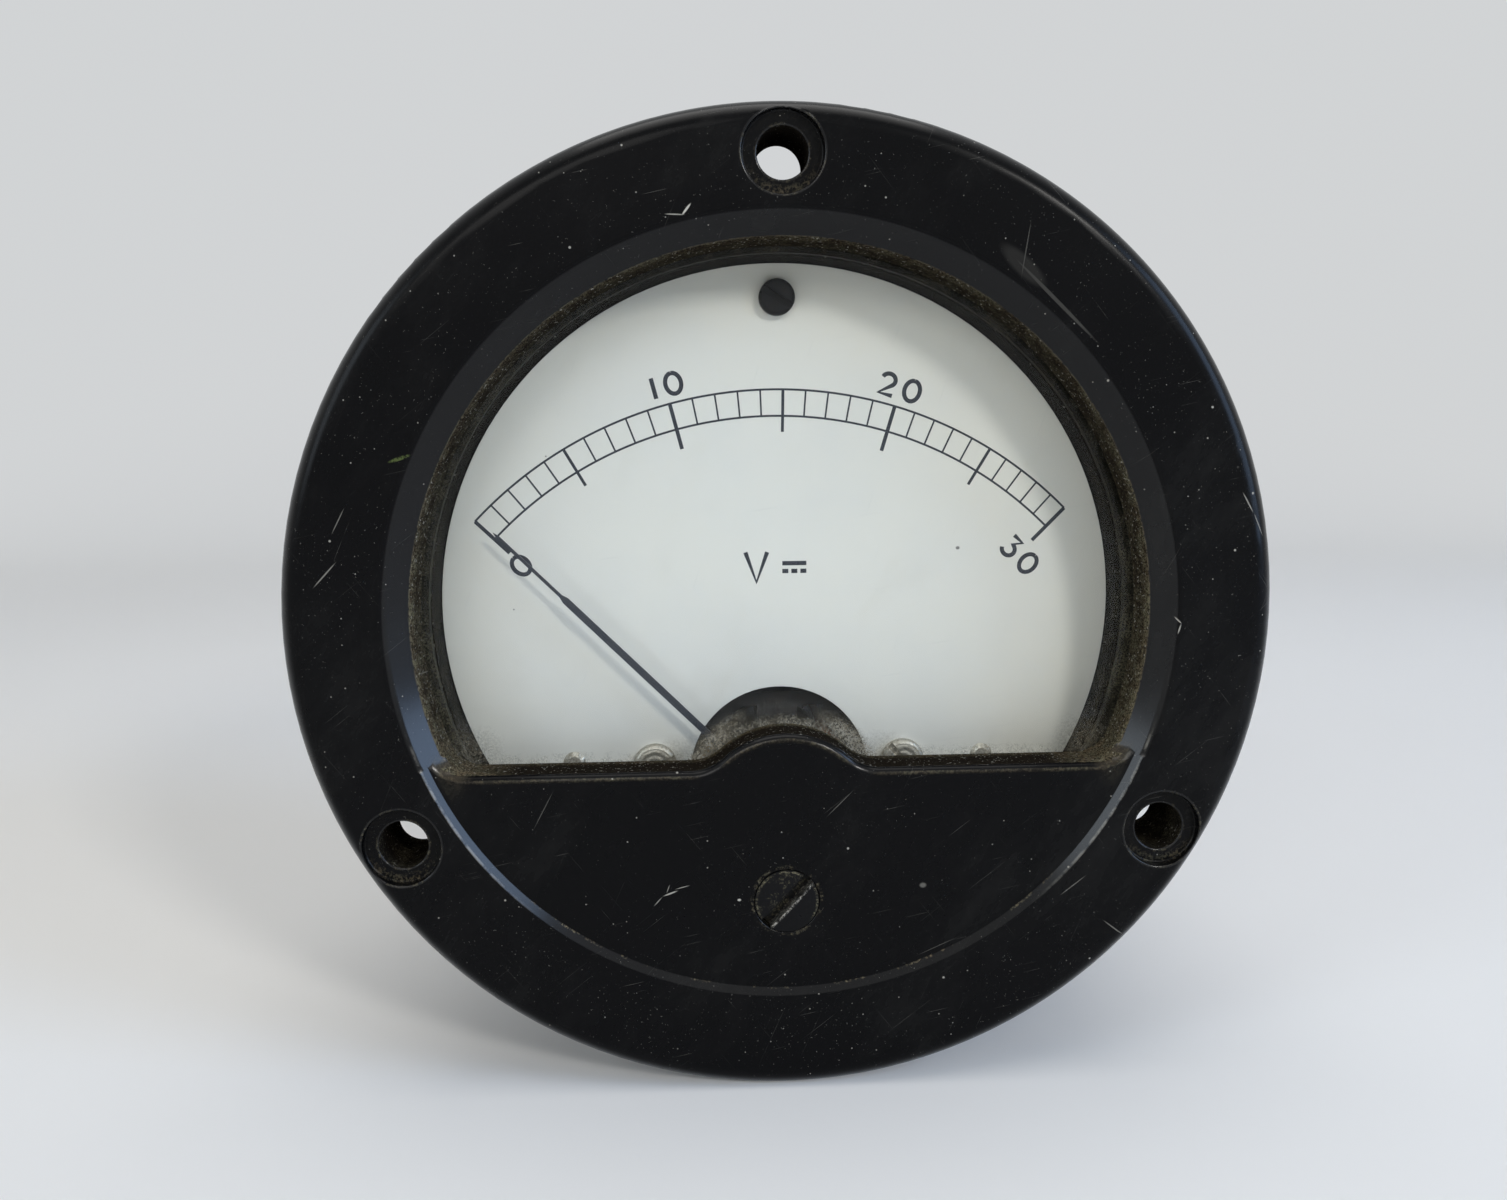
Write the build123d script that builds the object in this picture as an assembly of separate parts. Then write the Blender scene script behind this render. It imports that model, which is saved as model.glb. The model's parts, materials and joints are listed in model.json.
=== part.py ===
from build123d import *
import math
import os

# Round flush panel meter with a moving-coil movement. Millimetres, +Z up, the dial faces -Y.
# The origin is the centre of the case's mounting plane, where the flange meets the panel.

# ---- case: flange, barrel and bezel ----
flange_radius = 44.45
flange_rim_back = 2.8           # thickness of the case body's own flange
bezel_thickness = 6.1
front_edge_radius = 2.0
back_edge_break = 0.4
barrel_radius = 34.925
barrel_depth = 36.0             # from the panel plane to the outside of the rear wall
barrel_straight = 9.0           # length of barrel that locates in the panel
barrel_draft = 0.25             # loss of radius from there to the rear wall
barrel_back_radius = 1.6
barrel_wall = 2.525
rear_wall = 3.5
part_clearance = 0.1            # between moulded pieces that drop into each other

mount_hole_radius = 2.2
mount_hole_inset = 4.37         # flange edge to the hole centres
counterbore_radius = 3.52
counterbore_depth = 1.0
mount_hole_angles = [90, 210, 330]

bezel_screw_inset = 5.15
bezel_screw_angles = [30, 150, 270]
bezel_screw_shank = 1.15
bezel_screw_head = 1.85
bezel_screw_head_height = 1.3
bezel_screw_reach = 3.2         # length of thread inside the bezel
thread_clearance = 0.05

# ---- window: dished rim, apron and arch ----
dish_radius = 35.3              # where the dished rim meets the flange face
dish_step = 0.1                 # the dish over the apron is this much smaller than the window's rim
ridge_radius = 33.2             # where the rim's slope ends and the window wall begins
ridge_depth = 1.8
window_radius = 32.9            # window wall at the glass
apron_depth = 0.55              # apron face below the flange face
apron_edge_z = -13.7            # straight lower edge of the window
apron_edge_break = 0.45
window_corner_radius = 3.2
arch_radius = 8.7               # arch over the movement, struck from the pivot
arch_blend_radius = 4.0

glass_thickness = 1.6
glass_radius = 34.2
glass_edge_z = -19.5            # straight lower edge of the glass
gasket_thickness = 0.8
gasket_width = 1.6
gasket_lip = 0.15               # gasket bore beyond the case bore

clip_x = 18.0
clip_width = 5.0
clip_thickness = 0.4
clip_overlap = 2.0              # reach over the glass
clip_tail = 5.0                 # reach over the apron
clip_screw_drop = 3.0           # screw centre below the glass edge
clip_screw_shank = 0.9
clip_screw_head = 1.6
clip_screw_head_height = 0.9
clip_screw_reach = 2.4

# ---- pivot and scale plate ----
pivot_z = -19.08
needle_rest_angle = 135.1       # needle at zero, counted up from +X as seen from the front
dial_setback = 3.8              # dial face behind the bezel's back
dial_thickness = 0.5
dial_clearance = 0.3
dial_bottom_z = -18.5
dial_cutout_radius = 8.77
dial_cutout_z = -16.8
dial_screw_x = 12.15
dial_screw_z = -15.55
dial_screw_head = 2.1
dial_screw_head_height = 0.9
dial_screw_shank = 0.85
dial_screw_reach = 4.5
dial_post_radius = 1.9
dial_post_length = 2.5
dial_rivet_x = 20.0
dial_rivet_z = -15.2
dial_rivet_radius = 1.1
dial_rivet_height = 0.35
dial_rivet_shank = 0.6
dial_rivet_tail = 0.6
top_screw_inset = 3.45          # case bore to the screw's centre
top_screw_head = 1.68
top_screw_head_height = 1.2
top_post_radius = 2.5
slot_width = 0.55
slot_depth = 0.5

# ---- magnet, pole shoes and core ----
shoe_length = 11.0              # along the pivot axis
shoe_half_width = 16.0
shoe_top_z = -9.2
shoe_bottom_z = -28.6
shoe_gap = 8.9                  # between left and right shoe, above and below the coil
shoe_bore = 8.4
shoe_case_clearance = 0.8
core_radius = 6.5
core_flat = 6.3                 # pivot axis to the flats that the spacers seat on
spacer_web = 4.0
spacer_top_flange = 1.4
spacer_bottom_flange = 1.3
magnet_z = -4.0
magnet_outer = 26.5
magnet_inner = 17.0
magnet_thickness = 9.5

# ---- moving coil ----
former_inner = 6.8              # core side of the former, from the pivot axis
former_end_gap = 0.5            # core end to former
former_thickness = 0.25
former_width = 2.3
winding_thickness = 0.85
winding_width = 2.0
pivot_base_radius = 1.7
pivot_base_thickness = 0.3
staff_radius = 0.35
staff_tip_radius = 0.04
staff_cone = 0.6
collet_radius = 1.15

# ---- needle and balance cross ----
needle_height = 2.0             # needle axis line in front of the dial face
needle_thickness = 0.25
needle_hub_radius = 1.9
needle_rise_start = 4.8         # where the blade leaves the hub's level
needle_rise_end = 5.8           # where it reaches its height over the dial
needle_blade_width = 0.65
needle_blade_end = 28.5
needle_tip_width = 0.29
needle_taper = 0.6
needle_length = 37.7
tail_length = 7.4
side_arm_length = 6.6
cross_width = 0.6
tail_weight_radius = 0.82
tail_weight_length = 2.3
tail_weight_place = 6.0         # weight centre from the pivot axis
side_weight_radius = 0.6
side_weight_length = 1.2
side_weight_place = 5.8

# ---- bridges, jewels and hairsprings ----
bridge_thickness = 0.9
bridge_hub_radius = 3.0
bridge_foot_x = 11.2
bridge_foot_drop = 2.72         # foot centre below the pivot axis
bridge_foot_radius = 2.2
front_bridge_height = 3.7       # clear height over the pole shoes
rear_bridge_height = 4.2
bridge_screw_shank = 0.95
bridge_screw_head = 1.7
bridge_screw_head_height = 1.0
bridge_screw_reach = 4.5
stop_pin_angle = 144.9          # left pin, as seen from the front; the right one mirrors it
stop_pin_place = 6.6
stop_pin_radius = 0.4
stop_ear_radius = 0.8
stop_pin_length = 1.1
jewel_screw_radius = 1.2
jewel_screw_nose = 0.25         # beyond the bridge, towards the coil
jewel_screw_tail = 1.65         # beyond the bridge, away from the coil
jewel_radius = 0.75
jewel_depth = 0.6
jewel_cup_radius = 0.6
jewel_cup_depth = 0.53
pivot_end_shake = 0.05
lock_nut_width = 3.8
lock_nut_height = 0.75
spring_thickness = 0.12
spring_width = 0.4
spring_pitch = 0.72
spring_collet_gap = 0.06
spring_half_turns = 7
spring_bridge_gap = 0.35
spring_needle_gap = 0.15
spring_end_gap = 0.02          # solder gap at the outer end

# ---- zero adjuster ----
zero_screw_drop = 7.12          # screw axis below the pivot axis
zero_head_radius = 2.95
zero_head_depth = 2.0
zero_dome = 0.25
zero_shank_radius = 2.0
zero_running_gap = 0.05
zero_slot_width = 1.1
zero_slot_depth = 1.1
zero_slot_angle = 47
zero_pocket_radius = 4.2
zero_pocket_depth = 1.3
zero_washer_radius = 3.6
zero_washer_thickness = 0.35
zero_clip_radius = 3.1
zero_clip_thickness = 0.5
zero_groove_depth = 0.5
zero_pin_radius = 0.6
zero_pin_throw = 1.0            # pin centre from the screw's axis
zero_pin_overlap = 0.25         # pin end beyond the arm
arm_fork_gap = 0.08             # each side of the pin
arm_thickness = 0.4
arm_bridge_gap = 0.15
arm_ring_radius = 2.6
arm_width = 2.0
arm_fork_width = 3.2
arm_fork_reach = 1.3            # fork end beyond the pin's centre
arm_fork_length = 3.4
arm_slot_depth = 2.5
arm_lug_width = 0.9
arm_lug_thickness = 0.3

# ---- movement posts, terminals and wiring ----
post_x = 12.6
post_z = -13.0
post_radius = 2.4
post_spigot_radius = 1.2
post_spigot_length = 5.0
rear_screw_shank = 1.25
rear_screw_head = 2.5
rear_screw_head_height = 1.6
rear_screw_reach = 7.0
rear_screw_recess = 2.0

terminal_x = 12.7
terminal_z = 0.0
stud_radius = 3.175
stud_hex_width = 11.1
stud_hex_height = 4.0
stud_reach = 20.0               # beyond the terminal pads
stud_end_chamfer = 0.6
terminal_pad_radius = 7.4
terminal_pad_height = 0.8
flat_washer_radius = 6.5
flat_washer_thickness = 0.9
nut_width = 11.1
nut_height = 4.0
outer_nut_turn = 17             # degrees, as left by the spanner
lock_washer_radius = 5.4
lock_washer_thickness = 1.2
hole_clearance = 0.1
lug_thickness = 0.8
lug_radius = 5.6
lug_tab_width = 3.0
lug_tab_reach = 10.5
left_lug_angle = 90
right_lug_angle = -35

resistor_radius = 3.6
resistor_length = 17.0
resistor_y = 24.0
resistor_z = 14.0
resistor_cap_radius = 3.9
resistor_cap_length = 2.2
lead_radius = 0.5
lead_bend = 1.6
lead_stub = 2.5                 # straight run out of the resistor
tag_width = 1.8
tag_thickness = 0.5
tag_reach = 8.5                 # tag end from the pivot axis
tag_post_radius = 0.4

# ---- levels along Y, worked out from the sizes above ----
bezel_back_y = -flange_rim_back
face_y = bezel_back_y - bezel_thickness
apron_y = face_y + apron_depth
ridge_y = face_y + ridge_depth
glass_y = bezel_back_y - glass_thickness
dial_y = bezel_back_y + dial_setback
dial_back_y = dial_y + dial_thickness
shoe_front_y = dial_back_y + dial_post_length
shoe_back_y = shoe_front_y + shoe_length
rear_inside_y = barrel_depth - rear_wall
coil_build = former_end_gap + former_thickness + winding_thickness
coil_front_y = shoe_front_y - coil_build
coil_back_y = shoe_back_y + coil_build
front_bridge_back_y = shoe_front_y - front_bridge_height
front_bridge_y = front_bridge_back_y - bridge_thickness
rear_bridge_y = shoe_back_y + rear_bridge_height
rear_bridge_back_y = rear_bridge_y + bridge_thickness
arm_back_y = front_bridge_y - arm_bridge_gap
arm_y = arm_back_y - arm_thickness
front_spring_y = front_bridge_back_y + spring_bridge_gap
front_collet_back_y = front_spring_y + spring_width + spring_needle_gap
rear_spring_back_y = rear_bridge_y - jewel_screw_nose - spring_bridge_gap
needle_y = dial_y - needle_height
terminal_y = barrel_depth + terminal_pad_height

# ---- places and radii, worked out from the sizes above ----
zero_z = pivot_z - zero_screw_drop
bore_radius = barrel_radius - barrel_wall
gasket_radius = bore_radius + gasket_lip + gasket_width
top_screw_z = bore_radius - top_screw_inset
mount_hole_circle = flange_radius - mount_hole_inset
bezel_screw_circle = flange_radius - bezel_screw_inset
winding_inner = former_inner + former_thickness
winding_outer = winding_inner + winding_thickness
spring_first_radius = collet_radius + spring_collet_gap + spring_thickness / 2 + spring_pitch / 4
spring_end_radius = spring_first_radius + (spring_half_turns - 1) * spring_pitch / 2 + spring_pitch / 4
spring_anchor_radius = spring_end_radius + spring_thickness / 2 + spring_end_gap
far = 2 * flange_radius         # longer than anything that is cut


# ---- helpers ----
def slab(sketch, front_y, back_y):
    """A sketch seen from the front (x right, z up), extruded from front_y back to back_y."""
    return extrude(Plane.XZ.offset(-front_y) * sketch, amount=front_y - back_y)


def rod(radius, front_y, back_y, x=0, z=0):
    return slab(Pos(x, z) * Circle(radius), front_y, back_y)


def turned(outline, x=0, z=0):
    """A body of revolution about a line along Y; the outline is a list of (radius, y) points."""
    return Pos(x, 0, z) * revolve(make_face(Polyline(*outline, close=True)), Axis.Y)


def places_on_circle(radius, angles):
    return [(radius * math.cos(math.radians(a)), radius * math.sin(math.radians(a))) for a in angles]


def below(z):
    """Front view of everything lower than z."""
    return Pos(0, z - far / 2) * Rectangle(2 * far, far)


def link(start, start_radius, end, end_radius):
    """Front view of two circles joined by their common tangents."""
    circles = (Pos(*start) * Circle(start_radius)).edges() + (Pos(*end) * Circle(end_radius)).edges()
    return make_hull(circles)


def group(*solids):
    return Compound(children=list(solids))


def both_sides(shape):
    return group(shape, mirror(shape, about=Plane.YZ))


def screw(head, head_height, shank, reach, seat_y, place, slot_angle=0, head_at_back=False):
    """A slotted screw with its head on seat_y; the shank runs rearwards unless the head is at the back."""
    inward = -1 if head_at_back else 1
    crown = head * 0.15
    top_y = seat_y - inward * head_height
    outline = [
        (0, seat_y + inward * reach),
        (shank, seat_y + inward * reach),
        (shank, seat_y),
        (head, seat_y),
        (head, top_y + inward * crown),
        (head - crown, top_y),
        (0, top_y),
    ]
    slot = Pos(0, top_y, 0) * Rot(0, -slot_angle, 0) * Box(3 * head, 2 * slot_depth, slot_width)
    return Pos(place[0], 0, place[1]) * (turned(outline) - slot)


def hexagon(width):
    return RegularPolygon(width / 2, 6, major_radius=False)


def terminal_nut(front_y, back_y, turn):
    """A full nut on the origin's axis, chamfered round its rear face."""
    rounding = nut_width * 0.08
    envelope = turned([(0, front_y), (nut_width, front_y), (nut_width / 2 + rounding, back_y - rounding / 2),
                       (nut_width / 2, back_y), (0, back_y)])
    nut = slab(hexagon(nut_width), front_y, back_y) & envelope
    return Rot(0, turn, 0) * (nut - rod(stud_radius, front_y, back_y))


def at_needle_rest(shape):
    """Take a piece built round the origin with the needle along +X to its rest place on the pivot axis."""
    return Pos(0, 0, pivot_z) * Rot(0, -needle_rest_angle, 0) * shape


# ---- bezel, glass and case body ----
def rim_radius(y):
    """Radius of the dished rim at a depth: the slope down to the ridge, then the window wall."""
    if y < ridge_y:
        return dish_radius + (ridge_radius - dish_radius) * (y - face_y) / (ridge_y - face_y)
    return ridge_radius + (window_radius - ridge_radius) * (y - ridge_y) / (glass_y - ridge_y)


def window_section(y, edge_break):
    """The window opening at one depth: the rim's circle less the apron and its arch."""
    edge_z = apron_edge_z - edge_break
    opening = Circle(rim_radius(y)) - below(edge_z) - Pos(0, pivot_z) * Circle(arch_radius - edge_break)
    opening = fillet([v for v in opening.vertices() if abs(v.X) > arch_radius], window_corner_radius)
    opening = fillet([v for v in opening.vertices() if abs(v.X) < arch_radius], arch_blend_radius)
    return (Plane.XZ.offset(-y) * opening).face()


def window_cut():
    """From just above the flange face down to the glass; the apron's edge is broken at 45 degrees."""
    top_y = face_y - apron_depth
    break_y = apron_y + apron_edge_break
    levels = [(top_y, break_y - top_y), (break_y, 0), (ridge_y, 0), (glass_y, 0)]
    sections = [window_section(y, edge_break) for y, edge_break in levels]
    cut = loft(sections[:2], ruled=True)
    for start, end in zip(sections[1:], sections[2:]):
        cut += loft([start, end], ruled=True)
    return cut


def glass_outline(clearance):
    return Circle(glass_radius + clearance) - below(glass_edge_z - clearance)


def make_bezel():
    bezel = rod(flange_radius, face_y, bezel_back_y)
    bezel = fillet(bezel.edges().filter_by(GeomType.CIRCLE).sort_by(Axis.Y)[0], front_edge_radius)
    bezel -= window_cut()
    dish = [(0, face_y), (rim_radius(face_y), face_y), (rim_radius(apron_y), apron_y), (0, apron_y)]
    bezel -= turned([(max(0, radius - dish_step), y) for radius, y in dish])
    bezel -= slab(glass_outline(part_clearance), glass_y, bezel_back_y)
    for x, z in places_on_circle(mount_hole_circle, mount_hole_angles):
        bezel -= rod(mount_hole_radius, face_y, bezel_back_y, x, z)
        bezel -= rod(counterbore_radius, face_y, face_y + counterbore_depth, x, z)
    for x, z in places_on_circle(bezel_screw_circle, bezel_screw_angles):
        bezel -= rod(bezel_screw_shank + thread_clearance, bezel_back_y - bezel_screw_reach, bezel_back_y, x, z)
    for x in (-clip_x, clip_x):
        hole_z = glass_edge_z - clip_screw_drop
        bezel -= rod(clip_screw_shank + thread_clearance, bezel_back_y - clip_screw_reach, bezel_back_y, x, hole_z)
    bezel -= rod(zero_head_radius + zero_running_gap, apron_y, apron_y + zero_head_depth, 0, zero_z)
    bezel -= rod(zero_shank_radius + zero_running_gap, apron_y, bezel_back_y, 0, zero_z)
    bezel -= rod(zero_pocket_radius, bezel_back_y - zero_pocket_depth, bezel_back_y, 0, zero_z)
    return bezel


def make_glass():
    return slab(glass_outline(0), glass_y, bezel_back_y)


def make_gasket():
    ring = Circle(gasket_radius) - Circle(bore_radius + gasket_lip)
    return slab(ring, bezel_back_y, bezel_back_y + gasket_thickness)


def make_glass_clips():
    length = clip_overlap + clip_tail
    strip = Pos(clip_x, glass_edge_z + clip_overlap - length / 2) * RectangleRounded(clip_width, length, 1)
    strip -= Pos(clip_x, glass_edge_z - clip_screw_drop) * Circle(clip_screw_shank + hole_clearance)
    return both_sides(slab(strip, bezel_back_y, bezel_back_y + clip_thickness))


def make_glass_clip_screws():
    seat_y = bezel_back_y + clip_thickness
    reach = clip_thickness + clip_screw_reach - thread_clearance
    place = (clip_x, glass_edge_z - clip_screw_drop)
    return both_sides(screw(clip_screw_head, clip_screw_head_height, clip_screw_shank, reach, seat_y, place,
                            slot_angle=30, head_at_back=True))


def make_case_body():
    seat_radius = gasket_radius + part_clearance
    seat_y = bezel_back_y + gasket_thickness
    body = turned([
        (0, rear_inside_y),
        (bore_radius, rear_inside_y),
        (bore_radius, seat_y),
        (seat_radius, seat_y),
        (seat_radius, bezel_back_y),
        (flange_radius, bezel_back_y),
        (flange_radius, 0),
        (barrel_radius, 0),
        (barrel_radius, barrel_straight),
        (barrel_radius - barrel_draft, barrel_depth),
        (0, barrel_depth),
    ])
    circles = body.edges().filter_by(GeomType.CIRCLE)
    body = fillet(circles.filter_by_position(Axis.Y, barrel_depth - 0.01, barrel_depth + 0.01), barrel_back_radius)
    flange_edge = body.edges().filter_by(lambda e: abs(e.center().Y) < 0.01 and e.length > 6.2 * barrel_radius)
    body = chamfer(flange_edge.sort_by(SortBy.LENGTH)[-1], back_edge_break)
    for x in (-terminal_x, terminal_x):
        body += rod(terminal_pad_radius, rear_inside_y, terminal_y, x, terminal_z)
        body -= rod(stud_radius + hole_clearance, rear_inside_y, terminal_y, x, terminal_z)
    for x, z in places_on_circle(mount_hole_circle, mount_hole_angles):
        body -= rod(mount_hole_radius, bezel_back_y, 0, x, z)
    for x, z in places_on_circle(bezel_screw_circle, bezel_screw_angles):
        body -= rod(bezel_screw_shank + hole_clearance, bezel_back_y, 0, x, z)
        body -= rod(bezel_screw_head + part_clearance, -bezel_screw_head_height, 0, x, z)
    for x, z in rear_screw_places():
        body -= rod(rear_screw_shank + hole_clearance, rear_inside_y, barrel_depth, x, z)
        body -= rod(rear_screw_head + part_clearance, barrel_depth - rear_screw_recess, barrel_depth, x, z)
    return body


def make_bezel_screws():
    seat_y = -bezel_screw_head_height
    reach = seat_y - bezel_back_y + bezel_screw_reach - thread_clearance
    places = places_on_circle(bezel_screw_circle, bezel_screw_angles)
    return group(*[screw(bezel_screw_head, bezel_screw_head_height, bezel_screw_shank, reach, seat_y, place,
                         slot_angle=40 + 55 * i, head_at_back=True) for i, place in enumerate(places)])


# ---- scale plate and its fixings ----
def make_dial_plate():
    plate = Circle(bore_radius - dial_clearance) - below(dial_bottom_z)
    plate -= Pos(0, dial_cutout_z) * Circle(dial_cutout_radius)
    for side in (-1, 1):
        plate -= Pos(side * dial_screw_x, dial_screw_z) * Circle(dial_screw_shank + hole_clearance)
        plate -= Pos(side * dial_rivet_x, dial_rivet_z) * Circle(dial_rivet_shank)
    plate -= Pos(0, top_screw_z) * Circle(dial_screw_shank + hole_clearance)
    return slab(plate, dial_y, dial_back_y)


def make_dial_rivets():
    outline = [
        (0, dial_y - dial_rivet_height),
        (dial_rivet_radius * 0.6, dial_y - dial_rivet_height),
        (dial_rivet_radius, dial_y),
        (dial_rivet_shank, dial_y),
        (dial_rivet_shank, dial_back_y),
        (dial_rivet_radius, dial_back_y),
        (dial_rivet_radius * 0.8, dial_back_y + dial_rivet_tail),
        (0, dial_back_y + dial_rivet_tail),
    ]
    return both_sides(turned(outline, dial_rivet_x, dial_rivet_z))


def make_dial_posts():
    tube = Pos(dial_screw_x, dial_screw_z) * (Circle(dial_post_radius) - Circle(dial_screw_shank + thread_clearance))
    return both_sides(slab(tube, dial_back_y, shoe_front_y))


def make_dial_screws():
    reach = dial_thickness + dial_post_length + dial_screw_reach - thread_clearance
    shape = (dial_screw_head, dial_screw_head_height, dial_screw_shank, reach, dial_y)
    left = screw(*shape, (-dial_screw_x, dial_screw_z), slot_angle=20)
    right = screw(*shape, (dial_screw_x, dial_screw_z), slot_angle=-50)
    return group(left, right)


def make_dial_top_post():
    post = rod(top_post_radius, dial_back_y, rear_inside_y, 0, top_screw_z)
    post -= rod(dial_screw_shank + thread_clearance, dial_back_y, dial_back_y + dial_screw_reach, 0, top_screw_z)
    return post - rod(rear_screw_shank + thread_clearance, rear_inside_y - rear_screw_reach, rear_inside_y,
                      0, top_screw_z)


def make_dial_top_screw():
    reach = dial_thickness + dial_screw_reach - thread_clearance
    return screw(top_screw_head, top_screw_head_height, dial_screw_shank, reach, dial_y, (0, top_screw_z),
                 slot_angle=-33)


# ---- magnet circuit ----
def make_magnet():
    ring = Pos(0, magnet_z) * (Circle(magnet_outer) - Circle(magnet_inner))
    ring -= Pos(0, magnet_z - far / 2) * Rectangle(2 * shoe_half_width, far)
    inset = (shoe_length - magnet_thickness) / 2
    return slab(ring, shoe_front_y + inset, shoe_back_y - inset)


def make_right_shoe():
    width = shoe_half_width - shoe_gap / 2
    height = shoe_top_z - shoe_bottom_z
    block = Pos(shoe_gap / 2 + width / 2, (shoe_top_z + shoe_bottom_z) / 2) * Rectangle(width, height)
    block -= Pos(0, pivot_z) * Circle(shoe_bore)
    block &= Circle(bore_radius - shoe_case_clearance)
    shoe = slab(block, shoe_front_y, shoe_back_y)
    shoe -= rod(dial_screw_shank + thread_clearance, shoe_front_y, shoe_front_y + dial_screw_reach,
                dial_screw_x, dial_screw_z)
    foot_z = pivot_z - bridge_foot_drop
    foot_hole = bridge_screw_shank + thread_clearance
    shoe -= rod(foot_hole, shoe_front_y, shoe_front_y + bridge_screw_reach, bridge_foot_x, foot_z)
    shoe -= rod(foot_hole, shoe_back_y - bridge_screw_reach, shoe_back_y, bridge_foot_x, foot_z)
    shoe -= rod(post_spigot_radius, shoe_back_y - post_spigot_length, shoe_back_y, post_x, post_z)
    return shoe


def make_core():
    outline = Circle(core_radius) & Rectangle(2 * core_radius, 2 * core_flat)
    return slab(Pos(0, pivot_z) * outline, shoe_front_y, shoe_back_y)


def core_spacer(outer_z, flange, side):
    """A T-shaped block from the core's flat (side 1 above, -1 below) out to the ends of the shoes."""
    flat_z = pivot_z + side * core_flat
    web = Pos(0, (flat_z + outer_z) / 2) * Rectangle(spacer_web, abs(outer_z - flat_z))
    cap = Pos(0, outer_z - side * flange / 2) * Rectangle(shoe_gap, flange)
    return slab(web + cap, shoe_front_y, shoe_back_y)


# ---- moving coil ----
def coil_frame(width, inner, outer, front_y, back_y, wall, corner):
    """A rectangular frame round the core: its sides lie at +-Z of the pivot axis, at right angles to the needle."""
    middle_y = (front_y + back_y) / 2
    length = back_y - front_y
    solid = Pos(0, middle_y, 0) * Box(width, length, 2 * outer)
    solid = fillet(solid.edges().filter_by(Axis.X), corner + wall)
    hollow = Pos(0, middle_y, 0) * Box(width, length - 2 * wall, 2 * inner)
    return solid - fillet(hollow.edges().filter_by(Axis.X), corner)


def make_coil_former():
    front_y = coil_front_y + winding_thickness
    back_y = coil_back_y - winding_thickness
    return at_needle_rest(coil_frame(former_width, former_inner, winding_inner, front_y, back_y,
                                     former_thickness, 0.25))


def make_coil_winding():
    return at_needle_rest(coil_frame(winding_width, winding_inner, winding_outer, coil_front_y, coil_back_y,
                                     winding_thickness, 0.25 + former_thickness))


def make_pivot(coil_y, collet_near_y, collet_far_y, cup_y):
    """Base on the coil, staff, hairspring collet and the cone that runs in the jewel's cup."""
    outward = -1 if cup_y < coil_y else 1
    base_y = coil_y + outward * pivot_base_thickness
    tip_y = cup_y - outward * pivot_end_shake
    return at_needle_rest(turned([
        (0, coil_y),
        (pivot_base_radius, coil_y),
        (pivot_base_radius, base_y),
        (staff_radius, base_y),
        (staff_radius, collet_near_y),
        (collet_radius, collet_near_y),
        (collet_radius, collet_far_y),
        (staff_radius, collet_far_y),
        (staff_radius, tip_y - outward * staff_cone),
        (staff_tip_radius, tip_y),
        (0, tip_y),
    ]))


def front_cup_y():
    """Bottom of the front jewel's cup."""
    return front_bridge_back_y + jewel_screw_nose - jewel_cup_depth


def rear_cup_y():
    return rear_bridge_y - jewel_screw_nose + jewel_cup_depth


def make_front_pivot():
    return make_pivot(coil_front_y, front_collet_back_y, front_spring_y, front_cup_y())


def make_rear_pivot():
    collet_near_y = rear_spring_back_y - spring_width - spring_needle_gap
    return make_pivot(coil_back_y, collet_near_y, rear_spring_back_y, rear_cup_y())


def make_needle():
    hub_y = front_collet_back_y
    hub_back_y = hub_y + needle_thickness
    front_y = needle_y - needle_thickness / 2
    back_y = needle_y + needle_thickness / 2
    bend = math.atan2(hub_y - front_y, needle_rise_end - needle_rise_start)
    shift = needle_thickness * math.tan(bend / 2)
    side_view = Polyline(
        (staff_radius + thread_clearance, hub_y),
        (needle_rise_start, hub_y),
        (needle_rise_end, front_y),
        (needle_length, front_y),
        (needle_length, back_y),
        (needle_rise_end + shift, back_y),
        (needle_rise_start + shift, hub_back_y),
        (staff_radius + thread_clearance, hub_back_y),
        close=True,
    )
    blade = needle_blade_width / 2
    tip = needle_tip_width / 2
    front_view = Polyline(
        (0, blade),
        (needle_blade_end, blade),
        (needle_blade_end + needle_taper, tip),
        (needle_length - needle_taper, tip),
        (needle_length, 0),
        (needle_length - needle_taper, -tip),
        (needle_blade_end + needle_taper, -tip),
        (needle_blade_end, -blade),
        (0, -blade),
        close=True,
    )
    lance = extrude(make_face(side_view), amount=needle_blade_width, both=True)
    lance &= slab(make_face(front_view), front_y, hub_back_y)
    hub = Circle(needle_hub_radius)
    hub += Pos(-tail_length / 2, 0) * Rectangle(tail_length, cross_width)
    hub += Rectangle(cross_width, 2 * side_arm_length)
    cross = slab(hub, hub_y, hub_back_y)
    needle = lance + cross - rod(staff_radius + thread_clearance, hub_y, hub_back_y)
    return at_needle_rest(needle)


def make_balance_weights():
    middle_y = front_collet_back_y + needle_thickness / 2
    arm = Box(4 * tail_length, needle_thickness, cross_width)
    tail = Rot(0, 90, 0) * Cylinder(tail_weight_radius, tail_weight_length) - arm
    side = Cylinder(side_weight_radius, side_weight_length) - Rot(0, 90, 0) * arm
    return group(
        at_needle_rest(Pos(-tail_weight_place, middle_y, 0) * tail),
        at_needle_rest(Pos(0, middle_y, side_weight_place) * side),
        at_needle_rest(Pos(0, middle_y, -side_weight_place) * side),
    )


# ---- bridges, jewels and hairsprings ----
def bridge_outline():
    """Front view about the pivot axis: a hub with an arm down to each foot."""
    outline = Circle(bridge_hub_radius)
    for side in (-1, 1):
        outline += link((0, 0), bridge_hub_radius * 0.8, (side * bridge_foot_x, -bridge_foot_drop), bridge_foot_radius)
    return outline


def stop_pin_places():
    (x, z), = places_on_circle(stop_pin_place, [stop_pin_angle])
    return [(x, z), (-x, z)]


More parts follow.
